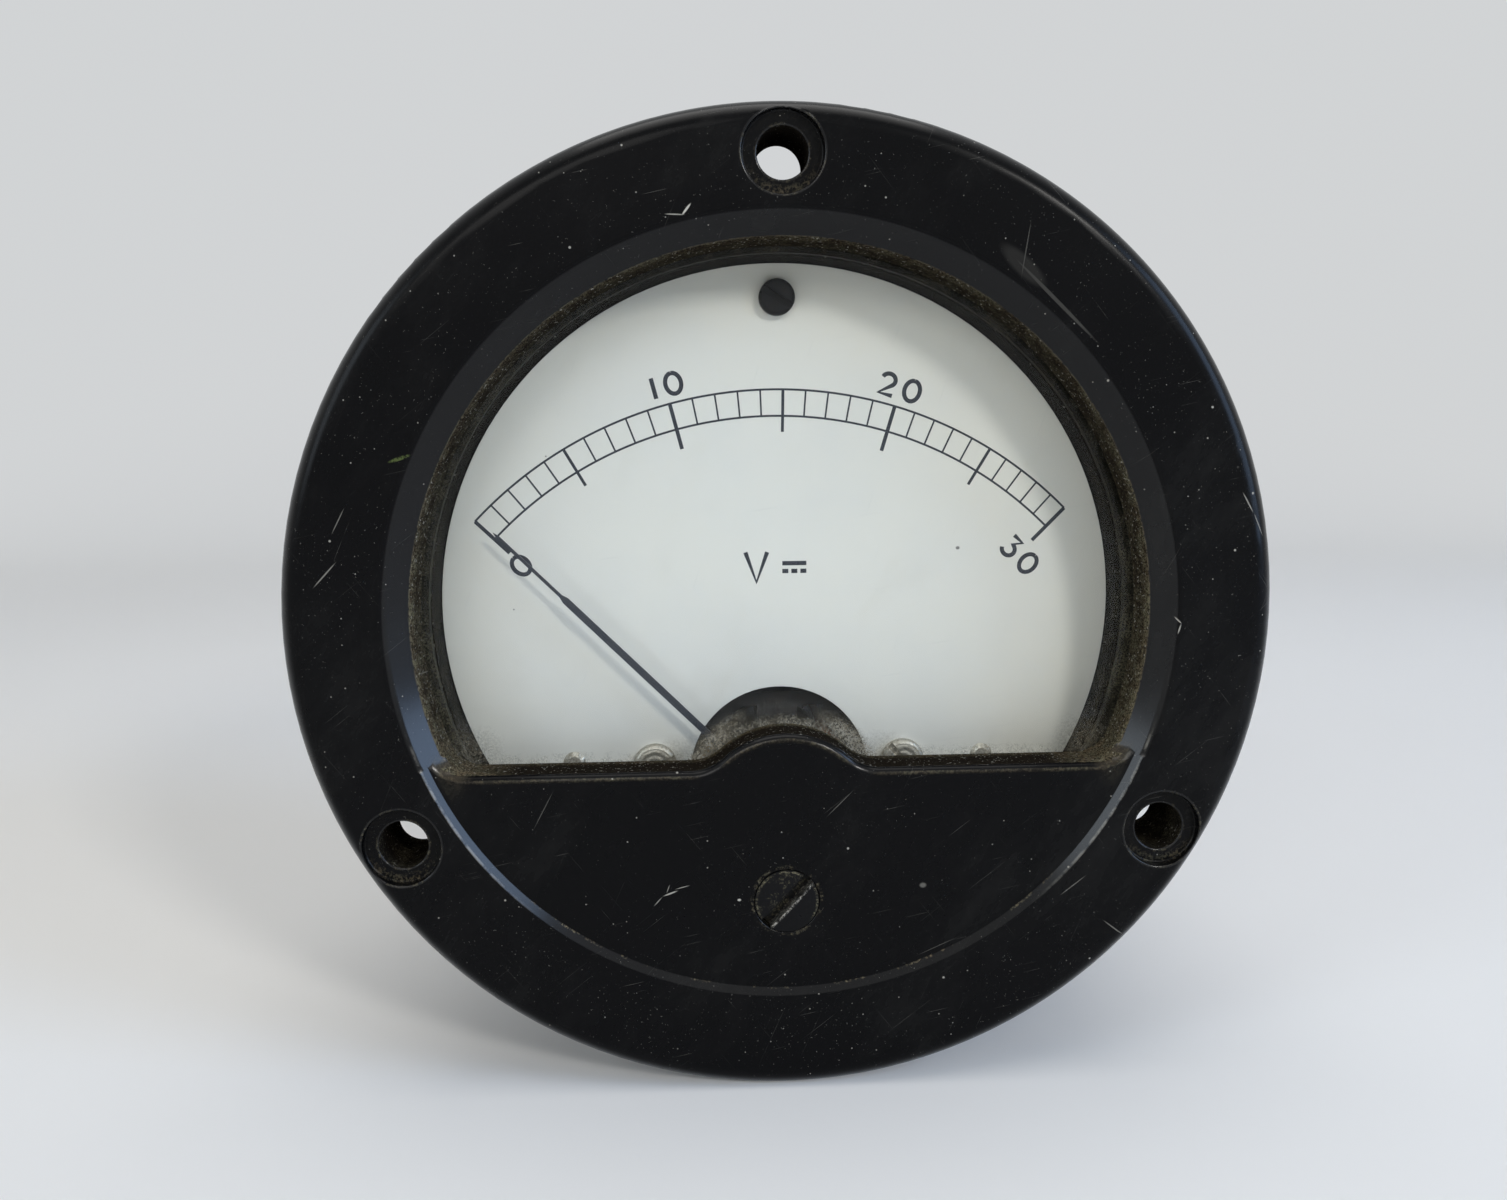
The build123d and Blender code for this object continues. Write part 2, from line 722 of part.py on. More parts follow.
def bridge(outline, plate_y, boss_y, boss_back_y):
    """A bridge plate with a round boss under each end, standing on the pole shoes."""
    plate_back_y = plate_y + bridge_thickness
    body = slab(outline, plate_y, plate_back_y)
    for side in (-1, 1):
        foot = (side * bridge_foot_x, -bridge_foot_drop)
        body += rod(bridge_foot_radius, boss_y, boss_back_y, *foot)
        body -= rod(bridge_screw_shank + hole_clearance, min(plate_y, boss_y), max(plate_back_y, boss_back_y), *foot)
    return body - rod(jewel_screw_radius, plate_y, plate_back_y)


def make_front_bridge():
    outline = bridge_outline()
    for x, z in stop_pin_places():
        outline += link((x, z), stop_ear_radius, (x, -bridge_foot_drop / 2), stop_ear_radius)
    body = bridge(outline, front_bridge_y, front_bridge_back_y, shoe_front_y)
    for x, z in stop_pin_places():
        body -= rod(stop_pin_radius, front_bridge_y, front_bridge_back_y, x, z)
    return Pos(0, 0, pivot_z) * body


def make_rear_bridge():
    outline = bridge_outline()
    outline += link((0, 0), bridge_hub_radius * 0.5, (0, rear_tag_place()), tag_post_radius + stop_ear_radius)
    body = bridge(outline, rear_bridge_y, shoe_back_y, rear_bridge_y)
    body -= rod(tag_post_radius, rear_bridge_y, rear_bridge_back_y, 0, rear_tag_place())
    return Pos(0, 0, pivot_z) * body


def make_stop_pins():
    return group(*[rod(stop_pin_radius, front_bridge_y - stop_pin_length, front_bridge_back_y, x, pivot_z + z)
                   for x, z in stop_pin_places()])


def make_front_bridge_screws():
    reach = front_bridge_height + bridge_thickness + bridge_screw_reach - thread_clearance
    return both_sides(screw(bridge_screw_head, bridge_screw_head_height, bridge_screw_shank, reach,
                            front_bridge_y, (bridge_foot_x, pivot_z - bridge_foot_drop), slot_angle=15))


def make_rear_bridge_screws():
    reach = rear_bridge_height + bridge_thickness + bridge_screw_reach - thread_clearance
    shape = (bridge_screw_head, bridge_screw_head_height, bridge_screw_shank)
    foot_z = pivot_z - bridge_foot_drop
    left = screw(*shape, reach, rear_bridge_back_y, (-bridge_foot_x, foot_z), slot_angle=70, head_at_back=True)
    right = screw(*shape, reach + tag_thickness, rear_bridge_back_y + tag_thickness, (bridge_foot_x, foot_z),
                  slot_angle=-20, head_at_back=True)
    return group(left, right)


def jewel_screw(nose_y, tail_y):
    """A slotted, threaded sleeve with the jewel's seat in its nose."""
    inward = -1 if nose_y < tail_y else 1
    length = abs(tail_y - nose_y)
    screw_body = rod(jewel_screw_radius, min(nose_y, tail_y), max(nose_y, tail_y))
    seat_y = nose_y - inward * jewel_depth
    screw_body -= rod(jewel_radius, min(nose_y, seat_y), max(nose_y, seat_y))
    slot = Pos(0, nose_y - inward * length, 0) * Rot(0, -60, 0) * Box(4 * jewel_screw_radius, slot_depth, slot_width)
    return Pos(0, 0, pivot_z) * (screw_body - slot)


def make_front_jewel_screw():
    return jewel_screw(front_bridge_back_y + jewel_screw_nose, front_bridge_y - jewel_screw_tail)


def make_rear_jewel_screw():
    return jewel_screw(rear_bridge_y - jewel_screw_nose, rear_bridge_back_y + jewel_screw_tail)


def jewel(mouth_y, cup_y, back_y):
    outline = [(0, back_y), (jewel_radius, back_y), (jewel_radius, mouth_y), (jewel_cup_radius, mouth_y),
               (staff_tip_radius * 3, cup_y), (0, cup_y)]
    return turned(outline, 0, pivot_z)


def make_front_jewel():
    mouth_y = front_bridge_back_y + jewel_screw_nose
    return jewel(mouth_y, front_cup_y(), mouth_y - jewel_depth)


def make_rear_jewel():
    mouth_y = rear_bridge_y - jewel_screw_nose
    return jewel(mouth_y, rear_cup_y(), mouth_y + jewel_depth)


def lock_nut(front_y, back_y):
    outline = hexagon(lock_nut_width) - Circle(jewel_screw_radius)
    return slab(Pos(0, pivot_z) * outline, front_y, back_y)


def make_front_lock_nut():
    back_y = arm_y - zero_running_gap
    return lock_nut(back_y - lock_nut_height, back_y)


def make_rear_lock_nut():
    return lock_nut(rear_bridge_back_y, rear_bridge_back_y + lock_nut_height)


def hairspring(front_y, outer_end_angle):
    """A flat spiral of half turns whose centres step from side to side by half the pitch."""
    spiral = None
    for turn in range(spring_half_turns):
        radius = spring_first_radius + turn * spring_pitch / 2
        side = 1 if turn % 2 == 0 else -1
        strip = Circle(radius + spring_thickness / 2) - Circle(radius - spring_thickness / 2)
        half = strip & (Pos(0, side * far / 2) * Rectangle(far, far))
        half = Pos(-side * spring_pitch / 4, 0) * half
        spiral = half if spiral is None else spiral + half
    spring = slab(spiral, front_y, front_y + spring_width)
    return Pos(0, 0, pivot_z) * Rot(0, 180 - outer_end_angle, 0) * spring


def make_front_hairspring():
    return hairspring(front_spring_y, 270)


def make_rear_hairspring():
    return hairspring(rear_spring_back_y - spring_width, 90)


def rear_tag_place():
    """Centre of the rear hairspring's post above the pivot axis."""
    return spring_anchor_radius + tag_post_radius


def make_rear_spring_tag():
    """The rear hairspring's insulated post, with a solder tag behind the bridge."""
    place = rear_tag_place()
    post = rod(tag_post_radius, rear_spring_back_y - spring_width, rear_bridge_back_y, 0, place)
    strip = link((0, place), tag_width / 2, (0, tag_reach), tag_width / 2)
    tag = slab(strip, rear_bridge_back_y, rear_bridge_back_y + tag_thickness)
    return Pos(0, 0, pivot_z) * (post + tag)


# ---- zero adjuster ----
def make_zero_screw():
    seat_y = apron_y + zero_head_depth
    clip_y = bezel_back_y - zero_pocket_depth + zero_washer_thickness
    clip_back_y = clip_y + zero_clip_thickness
    shank_end_y = clip_back_y + zero_washer_thickness
    groove = zero_shank_radius - zero_groove_depth
    side = Polyline(
        (zero_head_radius, apron_y),
        (zero_head_radius, seat_y),
        (zero_shank_radius, seat_y),
        (zero_shank_radius, clip_y),
        (groove, clip_y),
        (groove, clip_back_y),
        (zero_shank_radius, clip_back_y),
        (zero_shank_radius, shank_end_y),
        (0, shank_end_y),
        (0, apron_y - zero_dome),
    )
    dome = ThreePointArc((0, apron_y - zero_dome), (zero_head_radius * 0.7, apron_y - zero_dome * 0.55),
                         (zero_head_radius, apron_y))
    body = revolve(make_face(side + dome), Axis.Y)
    slot_length = 3 * zero_head_radius
    slot = Pos(0, apron_y - zero_dome, 0) * Rot(0, -zero_slot_angle, 0) * Box(
        slot_length, 2 * (zero_slot_depth + zero_dome), zero_slot_width)
    body -= slot
    body += rod(zero_pin_radius, shank_end_y, arm_back_y + zero_pin_overlap, 0, -zero_pin_throw)
    return Pos(0, 0, zero_z) * body


def make_zero_washer():
    front_y = bezel_back_y - zero_pocket_depth
    ring = Circle(zero_washer_radius) - Circle(zero_shank_radius + hole_clearance)
    return slab(Pos(0, zero_z) * ring, front_y, front_y + zero_washer_thickness)


def make_zero_clip():
    front_y = bezel_back_y - zero_pocket_depth + zero_washer_thickness
    groove = zero_shank_radius - zero_groove_depth
    ring = Circle(zero_clip_radius) - Circle(groove)
    ring -= Pos(zero_clip_radius, 0) * Rectangle(2 * zero_clip_radius, 2 * groove)
    return slab(Pos(0, zero_z) * Rot(0, 0, 20) * ring, front_y, front_y + zero_clip_thickness)


def make_zero_arm():
    """The regulator: a ring on the jewel screw, a fork on the eccentric pin and the hairspring's lug."""
    pin_drop = zero_screw_drop + zero_pin_throw
    end = pin_drop + arm_fork_reach
    outline = Circle(arm_ring_radius) + Pos(0, -pin_drop / 2) * Rectangle(arm_width, pin_drop)
    outline += Pos(0, arm_fork_length / 2 - end) * RectangleRounded(arm_fork_width, arm_fork_length, 0.5)
    outline -= Circle(jewel_screw_radius + zero_running_gap)
    slot = 2 * (zero_pin_radius + arm_fork_gap)
    outline -= Pos(0, -end) * Rectangle(slot, 2 * arm_slot_depth)
    arm = slab(outline, arm_y, arm_back_y)
    lug = Pos(0, -spring_anchor_radius - arm_lug_thickness / 2) * Rectangle(arm_lug_width, arm_lug_thickness)
    arm += slab(lug, arm_y, front_spring_y + spring_width)
    return Pos(0, 0, pivot_z) * arm


# ---- movement posts, terminals and wiring ----
def rear_screw_places():
    return [(-post_x, post_z), (post_x, post_z), (0, top_screw_z)]


def make_movement_posts():
    post = rod(post_radius, shoe_back_y, rear_inside_y, post_x, post_z)
    post += rod(post_spigot_radius, shoe_back_y - post_spigot_length, shoe_back_y, post_x, post_z)
    post -= rod(rear_screw_shank + thread_clearance, rear_inside_y - rear_screw_reach, rear_inside_y, post_x, post_z)
    return both_sides(post)


def make_rear_screws():
    seat_y = barrel_depth - rear_screw_recess
    reach = seat_y - rear_inside_y + rear_screw_reach - thread_clearance
    return group(*[screw(rear_screw_head, rear_screw_head_height, rear_screw_shank, reach, seat_y, place,
                         slot_angle=25 + 40 * i, head_at_back=True) for i, place in enumerate(rear_screw_places())])


def make_terminal_stud(x):
    head_back_y = rear_inside_y - lug_thickness
    end_y = terminal_y + stud_reach
    shank = turned([
        (0, head_back_y),
        (stud_radius, head_back_y),
        (stud_radius, end_y - stud_end_chamfer),
        (stud_radius - stud_end_chamfer, end_y),
        (0, end_y),
    ], x, terminal_z)
    head = Pos(x, terminal_z) * hexagon(stud_hex_width)
    return shank + slab(head, head_back_y - stud_hex_height, head_back_y)


def make_solder_lugs():
    lugs = []
    for side, angle in ((-1, left_lug_angle), (1, right_lug_angle)):
        (tab_x, tab_z), = places_on_circle(lug_tab_reach - lug_tab_width / 2, [angle])
        outline = Circle(lug_radius) + link((0, 0), lug_tab_width / 2, (tab_x, tab_z), lug_tab_width / 2)
        outline -= Circle(stud_radius + hole_clearance)
        lugs.append(slab(Pos(side * terminal_x, terminal_z) * outline, rear_inside_y - lug_thickness, rear_inside_y))
    return group(*lugs)


def washer_level(stage):
    """Rear-facing level of the terminal hardware after so many pieces: washer, nut, lock washer, nut."""
    return terminal_y + sum([flat_washer_thickness, nut_height, lock_washer_thickness, nut_height][:stage])


def make_flat_washers():
    ring = Pos(terminal_x, terminal_z) * (Circle(flat_washer_radius) - Circle(stud_radius + hole_clearance))
    return both_sides(slab(ring, washer_level(0), washer_level(1)))


def make_inner_nuts():
    return both_sides(Pos(terminal_x, 0, terminal_z) * terminal_nut(washer_level(1), washer_level(2), 0))


def make_lock_washers():
    ring = Circle(lock_washer_radius) - Circle(stud_radius + hole_clearance)
    ring -= Rot(0, 0, 65) * Pos(lock_washer_radius, 0) * Rectangle(2 * lock_washer_radius, 0.8)
    return both_sides(slab(Pos(terminal_x, terminal_z) * ring, washer_level(2), washer_level(3)))


def make_outer_nuts():
    return both_sides(Pos(terminal_x, 0, terminal_z) * terminal_nut(washer_level(3), washer_level(4), outer_nut_turn))


def make_resistor():
    """A wound spool on its side, with a cap on each end."""
    spool = Cylinder(resistor_radius, resistor_length)
    for side in (-1, 1):
        spool += Pos(0, 0, side * (resistor_length - resistor_cap_length) / 2) * Cylinder(
            resistor_cap_radius, resistor_cap_length)
    return Pos(0, resistor_y, resistor_z) * Rot(0, 90, 0) * spool


def wire(*points):
    path = FilletPolyline(*points, radius=lead_bend)
    return sweep(Plane(origin=path @ 0, z_dir=path % 0) * Circle(lead_radius), path=path)


def make_left_lead():
    """From the resistor to the left terminal's solder lug."""
    lug_y = rear_inside_y - lug_thickness
    lug_z = terminal_z + lug_tab_reach - lug_tab_width / 2
    return wire(
        (-resistor_length / 2, resistor_y, resistor_z),
        (-resistor_length / 2 - lead_stub, resistor_y, resistor_z),
        (-terminal_x, resistor_y, lug_z),
        (-terminal_x, lug_y, lug_z),
    )


def make_right_lead():
    """From the resistor down to the rear hairspring's tag."""
    tag_y = rear_bridge_back_y + tag_thickness
    tag_z = pivot_z + tag_reach
    return wire(
        (resistor_length / 2, resistor_y, resistor_z),
        (resistor_length / 2 + lead_stub, resistor_y, resistor_z),
        (0, resistor_y, tag_z),
        (0, tag_y, tag_z),
    )


def make_frame_lead():
    """From the right terminal's lug to a ring terminal under the rear bridge's right screw."""
    (tab_x, tab_z), = places_on_circle(lug_tab_reach - lug_tab_width / 2, [right_lug_angle])
    lug_y = rear_inside_y - lug_thickness
    foot_z = pivot_z - bridge_foot_drop
    tab_end = bridge_foot_x + 2 * bridge_foot_radius
    ring_y = rear_bridge_back_y + tag_thickness
    ring = link((bridge_foot_x, foot_z), bridge_foot_radius, (tab_end, foot_z), tag_width / 2)
    ring -= Pos(bridge_foot_x, foot_z) * Circle(bridge_screw_shank + hole_clearance)
    lead = wire(
        (terminal_x + tab_x, lug_y, terminal_z + tab_z),
        (terminal_x + tab_x, resistor_y, terminal_z + tab_z),
        (tab_end, resistor_y, foot_z),
        (tab_end, ring_y, foot_z),
    )
    return lead + slab(ring, rear_bridge_back_y, ring_y)


parts = {
    "bezel": make_bezel(),
    "window_glass": make_glass(),
    "glass_gasket": make_gasket(),
    "glass_clips": make_glass_clips(),
    "glass_clip_screws": make_glass_clip_screws(),
    "case_body": make_case_body(),
    "bezel_screws": make_bezel_screws(),
    "dial_plate": make_dial_plate(),
    "dial_rivets": make_dial_rivets(),
    "dial_posts": make_dial_posts(),
    "dial_screws": make_dial_screws(),
    "dial_top_post": make_dial_top_post(),
    "dial_top_screw": make_dial_top_screw(),
    "magnet": make_magnet(),
    "pole_shoe_right": make_right_shoe(),
    "pole_shoe_left": mirror(make_right_shoe(), about=Plane.YZ),
    "core": make_core(),
    "core_spacer_top": core_spacer(shoe_top_z, spacer_top_flange, 1),
    "core_spacer_bottom": core_spacer(shoe_bottom_z, spacer_bottom_flange, -1),
    "coil_former": make_coil_former(),
    "coil_winding": make_coil_winding(),
    "front_pivot": make_front_pivot(),
    "rear_pivot": make_rear_pivot(),
    "needle": make_needle(),
    "balance_weights": make_balance_weights(),
    "front_bridge": make_front_bridge(),
    "front_bridge_screws": make_front_bridge_screws(),
    "stop_pins": make_stop_pins(),
    "front_jewel_screw": make_front_jewel_screw(),
    "front_jewel": make_front_jewel(),
    "front_lock_nut": make_front_lock_nut(),
    "front_hairspring": make_front_hairspring(),
    "rear_bridge": make_rear_bridge(),
    "rear_bridge_screws": make_rear_bridge_screws(),
    "rear_jewel_screw": make_rear_jewel_screw(),
    "rear_jewel": make_rear_jewel(),
    "rear_lock_nut": make_rear_lock_nut(),
    "rear_hairspring": make_rear_hairspring(),
    "rear_spring_tag": make_rear_spring_tag(),
    "zero_screw": make_zero_screw(),
    "zero_washer": make_zero_washer(),
    "zero_clip": make_zero_clip(),
    "zero_arm": make_zero_arm(),
    "movement_posts": make_movement_posts(),
    "rear_screws": make_rear_screws(),
    "terminal_stud_left": make_terminal_stud(-terminal_x),
    "terminal_stud_right": make_terminal_stud(terminal_x),
    "solder_lugs": make_solder_lugs(),
    "terminal_flat_washers": make_flat_washers(),
    "terminal_inner_nuts": make_inner_nuts(),
    "terminal_lock_washers": make_lock_washers(),
    "terminal_outer_nuts": make_outer_nuts(),
    "multiplier_resistor": make_resistor(),
    "resistor_lead_left": make_left_lead(),
    "resistor_lead_right": make_right_lead(),
    "frame_lead": make_frame_lead(),
}

os.makedirs("parts", exist_ok=True)
for name, shape in parts.items():
    export_step(shape, f"parts/{name}.step")
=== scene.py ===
import json
from math import cos, hypot, pi, radians, sin

import bmesh
import bpy
from mathutils import Matrix, Vector


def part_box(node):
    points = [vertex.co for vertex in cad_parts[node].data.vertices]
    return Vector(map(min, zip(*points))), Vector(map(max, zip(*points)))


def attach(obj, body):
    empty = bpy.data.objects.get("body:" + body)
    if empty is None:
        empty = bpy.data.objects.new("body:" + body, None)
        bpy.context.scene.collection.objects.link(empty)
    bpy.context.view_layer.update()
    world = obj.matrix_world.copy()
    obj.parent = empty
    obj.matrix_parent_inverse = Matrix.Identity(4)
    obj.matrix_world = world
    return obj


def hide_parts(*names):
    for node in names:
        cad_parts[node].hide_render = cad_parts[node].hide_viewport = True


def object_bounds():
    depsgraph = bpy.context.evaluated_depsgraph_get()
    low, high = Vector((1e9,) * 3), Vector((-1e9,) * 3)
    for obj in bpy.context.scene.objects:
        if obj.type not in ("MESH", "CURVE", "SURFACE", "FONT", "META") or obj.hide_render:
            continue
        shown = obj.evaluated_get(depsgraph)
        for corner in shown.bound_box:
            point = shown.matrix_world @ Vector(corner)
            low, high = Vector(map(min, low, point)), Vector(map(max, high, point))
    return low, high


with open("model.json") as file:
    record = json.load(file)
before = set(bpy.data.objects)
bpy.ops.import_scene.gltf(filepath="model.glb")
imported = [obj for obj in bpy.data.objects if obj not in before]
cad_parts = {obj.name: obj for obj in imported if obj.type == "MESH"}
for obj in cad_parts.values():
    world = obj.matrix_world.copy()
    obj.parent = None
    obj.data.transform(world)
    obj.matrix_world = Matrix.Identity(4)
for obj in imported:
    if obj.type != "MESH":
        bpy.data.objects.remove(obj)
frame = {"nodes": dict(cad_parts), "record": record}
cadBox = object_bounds()
mm = 0.001
print("frame loaded:", len(frame["nodes"]), "nodes")

# levels of the meter in metres, which run along +Y, and its main places (x, z) in millimetres
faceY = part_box("bezel")[0].y
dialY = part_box("dial_plate")[0].y
pivot = (0, -19.08)
zeroScrew = (0, -26.2)
mountCircle = 40.08
mountPlaces = [(mountCircle * cos(radians(a)), mountCircle * sin(radians(a))) for a in (90, 210, 330)]


class Tone:
    # one value inside a shader, which takes part in sums as a number does
    def __init__(self, recipe, socket):
        self.recipe, self.socket = recipe, socket

    def maths(self, operation, first, second=0.0):
        return self.recipe.node("ShaderNodeMath", {"operation": operation}, {0: first, 1: second})

    def __add__(self, other):
        return self.maths("ADD", self, other)

    def __sub__(self, other):
        return self.maths("SUBTRACT", self, other)

    def __rsub__(self, other):
        return self.maths("SUBTRACT", other, self)

    def __mul__(self, other):
        return self.maths("MULTIPLY", self, other)

    def __pow__(self, other):
        return self.maths("POWER", self, other)

    __radd__ = __add__
    __rmul__ = __mul__

    def over(self, low, high):  # 0 below low, 1 above high, smooth between; low may be the larger
        return self.recipe.node("ShaderNodeMapRange", {"interpolation_type": "SMOOTHSTEP"},
                                {0: self, 1: low, 2: high, 3: 0.0, 4: 1.0})

    def near(self, level, reach, core):  # 1 within core of the level, fading to 0 at reach
        return (self - level).size().over(reach, core)

    def most(self, *others):
        result = self
        for other in others:
            result = self.maths("MAXIMUM", result, other)
        return result

    def least(self, other):
        return self.maths("MINIMUM", self, other)

    def size(self):
        return self.maths("ABSOLUTE", self)

    def wave(self, length, shift=0.0):  # -1 to 1, one turn in every length
        return self.maths("SINE", self * (2 * pi / length) + shift)


class Recipe:
    # one material; every length in a recipe is in millimetres, and depth runs back from the front face
    def __init__(self, name, **uniform):
        self.material = bpy.data.materials.new(name)
        self.material.use_nodes = True
        self.tree = self.material.node_tree
        self.shader = self.tree.nodes["Principled BSDF"]
        for socket, value in uniform.items():
            self.shader.inputs[socket.replace("_", " ")].default_value = value
        self.place = self.node("ShaderNodeTexCoord", output="Object")
        axes = self.tree.nodes.new("ShaderNodeSeparateXYZ")
        self.tree.links.new(self.place.socket, axes.inputs[0])
        self.x, self.y, self.z = [Tone(self, axis) * (1 / mm) for axis in axes.outputs]
        self.depth = self.y - faceY / mm

    def node(self, kind, settings=None, values=None, output=0):
        made = self.tree.nodes.new(kind)
        for name, value in (settings or {}).items():
            setattr(made, name, value)
        for key, value in (values or {}).items():
            if isinstance(value, Tone):
                self.tree.links.new(value.socket, made.inputs[key])
            else:
                made.inputs[key].default_value = value
        return Tone(self, made.outputs[output])

    def mapped(self, scale, turn=(0, 0, 0), centre=(0, 0, 0)):
        return self.node("ShaderNodeMapping", {"vector_type": "TEXTURE"},
                         {0: self.place, 1: centre, 2: turn, 3: scale})

    def grain(self, size, detail=3.0, rough=0.55, stretch=None, turn=(0, 0, 0), twist=0.0):
        # soft noise; size is the length of one patch, and stretch lengthens it along the turned axes
        place = self.mapped(stretch, turn) if stretch else self.place
        return self.node("ShaderNodeTexNoise", None, {"Vector": place, "Scale": 1 / (size * mm), "Detail": detail,
                                                      "Roughness": rough, "Distortion": twist})

    def specks(self, spacing, size, share, stretch=(1, 1, 1), turn=(0, 0, 0), flat=False):
        # small separate marks: one in every few cells, each no wider than size times the spacing
        cells = self.tree.nodes.new("ShaderNodeTexVoronoi")
        cells.voronoi_dimensions = "2D" if flat else "3D"
        cells.inputs["Scale"].default_value = 1
        place = self.mapped(tuple(spacing * mm * s for s in stretch), turn)
        self.tree.links.new(place.socket, cells.inputs["Vector"])
        chosen = self.node("ShaderNodeSeparateColor", None, {0: Tone(self, cells.outputs["Color"])})
        near = Tone(self, cells.outputs["Distance"]).over(size, size * 0.6)
        return near * chosen.over(1 - share, 1 - share + 0.01)

    def scratches(self, angle, length, width, share):
        # thin straight marks on faces that look along Y, at one slant
        return self.specks(1, 0.42, share, (length, width, 1), (pi / 2, -radians(angle), 0), flat=True)

    def mark(self, x, z, lean, length, width, depth=0.0, reach=1.2):
        # one soft mark, tapered at its ends
        place = self.mapped((length / 2 * mm, reach * mm, width / 2 * mm), (0, -radians(lean), 0),
                            (x * mm, faceY + depth * mm, z * mm))
        soft = self.node("ShaderNodeTexGradient", {"gradient_type": "SPHERICAL"}, {"Vector": place}, output=1)
        return soft.over(0.0, 0.45)

    def fromPoint(self, x, z, mirrored=False):  # distance from a line along Y, or from the nearer of two
        across, up = (self.x.size() if mirrored else self.x) - x, self.z - z
        return (across * across + up * up) ** 0.5

    def mix(self, factor, first, second):
        pair = {}
        for key, colour in ((6, first), (7, second)):
            pair[key] = colour if isinstance(colour, Tone) else (*colour, 1)
        return self.node("ShaderNodeMix", {"data_type": "RGBA"}, {0: factor, **pair}, output=2)

    def bump(self, height, depth):  # height 0 to 1 stands for the depth
        return self.node("ShaderNodeBump", None, {"Height": height, "Strength": 1.0, "Distance": depth * mm})

    def finish(self, **links):
        for socket, value in links.items():
            self.tree.links.new(value.socket, self.shader.inputs[socket.replace("_", " ")])
        return self.material

    def layered(self, factor, first, second):
        # the surface is a mix of two shaders instead of the recipe's own alone
        mixed = self.node("ShaderNodeMixShader", None, {0: factor, 1: first, 2: second})
        self.tree.links.new(mixed.socket, self.tree.nodes["Material Output"].inputs["Surface"])
        return self.material

    def own(self):
        return Tone(self, self.shader.outputs[0])


dust = {"pale": (0.42, 0.40, 0.35), "olive": (0.15, 0.135, 0.085), "tan": (0.20, 0.155, 0.095),
        "moss": (0.07, 0.09, 0.03)}

frontMarks = {   # x, z, lean, length, width, strength
    "lint": ((-9.2, 34.88, -2, 1.9, 0.14, 0.6), (-8.2, 35.3, 52, 1.4, 0.24, 1.0),   # a curl by the top hole
             (-11.85, -25.9, 48, 1.5, 0.15, 0.5), (-10.7, -25.15, 20, 1.9, 0.22, 0.8),
             (-9.6, -24.6, 14, 1.8, 0.13, 0.6), (-10.9, -24.7, 70, 1.1, 0.12, 0.5),
             (-4.4, -25.95, 0, 0.5, 0.34, 1.0), (12.6, -25.0, 0, 0.9, 0.7, 0.25),
             (35.4, -0.5, -45, 1.0, 0.15, 0.7), (35.55, -1.3, 75, 1.1, 0.15, 0.7)),
    "scratches": ((41.3, 10.0, -60, 2.4, 0.16, 0.5), (42.4, 8.0, -65, 2.6, 0.14, 0.4),
                  (-40.0, 4.75, 47, 3.4, 0.16, 0.4), (-38.6, 9.4, 62, 2.8, 0.12, 0.3),
                  (20.6, 30.6, -42, 6.0, 1.9, 0.035), (23.4, 27.8, -44, 12.0, 0.4, 0.09),
                  (20.8, 31.9, 81, 5.4, 0.13, 0.12), (26.5, -25.2, 38, 3.4, 0.12, 0.25),
                  (-22.0, -17.0, 62, 5.2, 0.12, 0.16), (14.0, -31.0, 24, 5.5, 0.1, 0.14),
                  (30.5, -29.5, -38, 3.0, 0.14, 0.3), (4.9, -17.0, 45, 4.5, 0.12, 0.2)),
    "fibres": ((-32.15, -5.1, -38, 2.2, 0.2, 0.8), (24.1, 19.6, 35, 1.7, 0.2, 0.7),
               (25.6, 19.2, -38, 2.4, 0.22, 0.8)),
    "moss": (-33.1, 14.7, 18, 2.3, 0.42),
}

frontLook = {
    "black": (0.0022, 0.0022, 0.0025), "worn": (0.0105, 0.0102, 0.0098), "roughness": 0.2, "peel": 0.0025,
    "polish": 0.36, "scratched": 0.2,
    # radii, depths and heights where dust and wear gather, and where a highlight is painted on the rim
    "ridge": 33.3, "ridgeDepth": 1.8, "rim": 35.3, "rimPaintedHighlight": 35.12, "groove": 34.6, "outerEdge": 43.2,
    "apronDepth": 0.55, "lipDepth": 0.6, "apronTop": -14.15, "arch": 8.2, "corner": (30.6, -13.9),
    "seat": 3.62, "bore": 2.35, "screwGap": 3.2, "foot": (-2, -36.8),
}


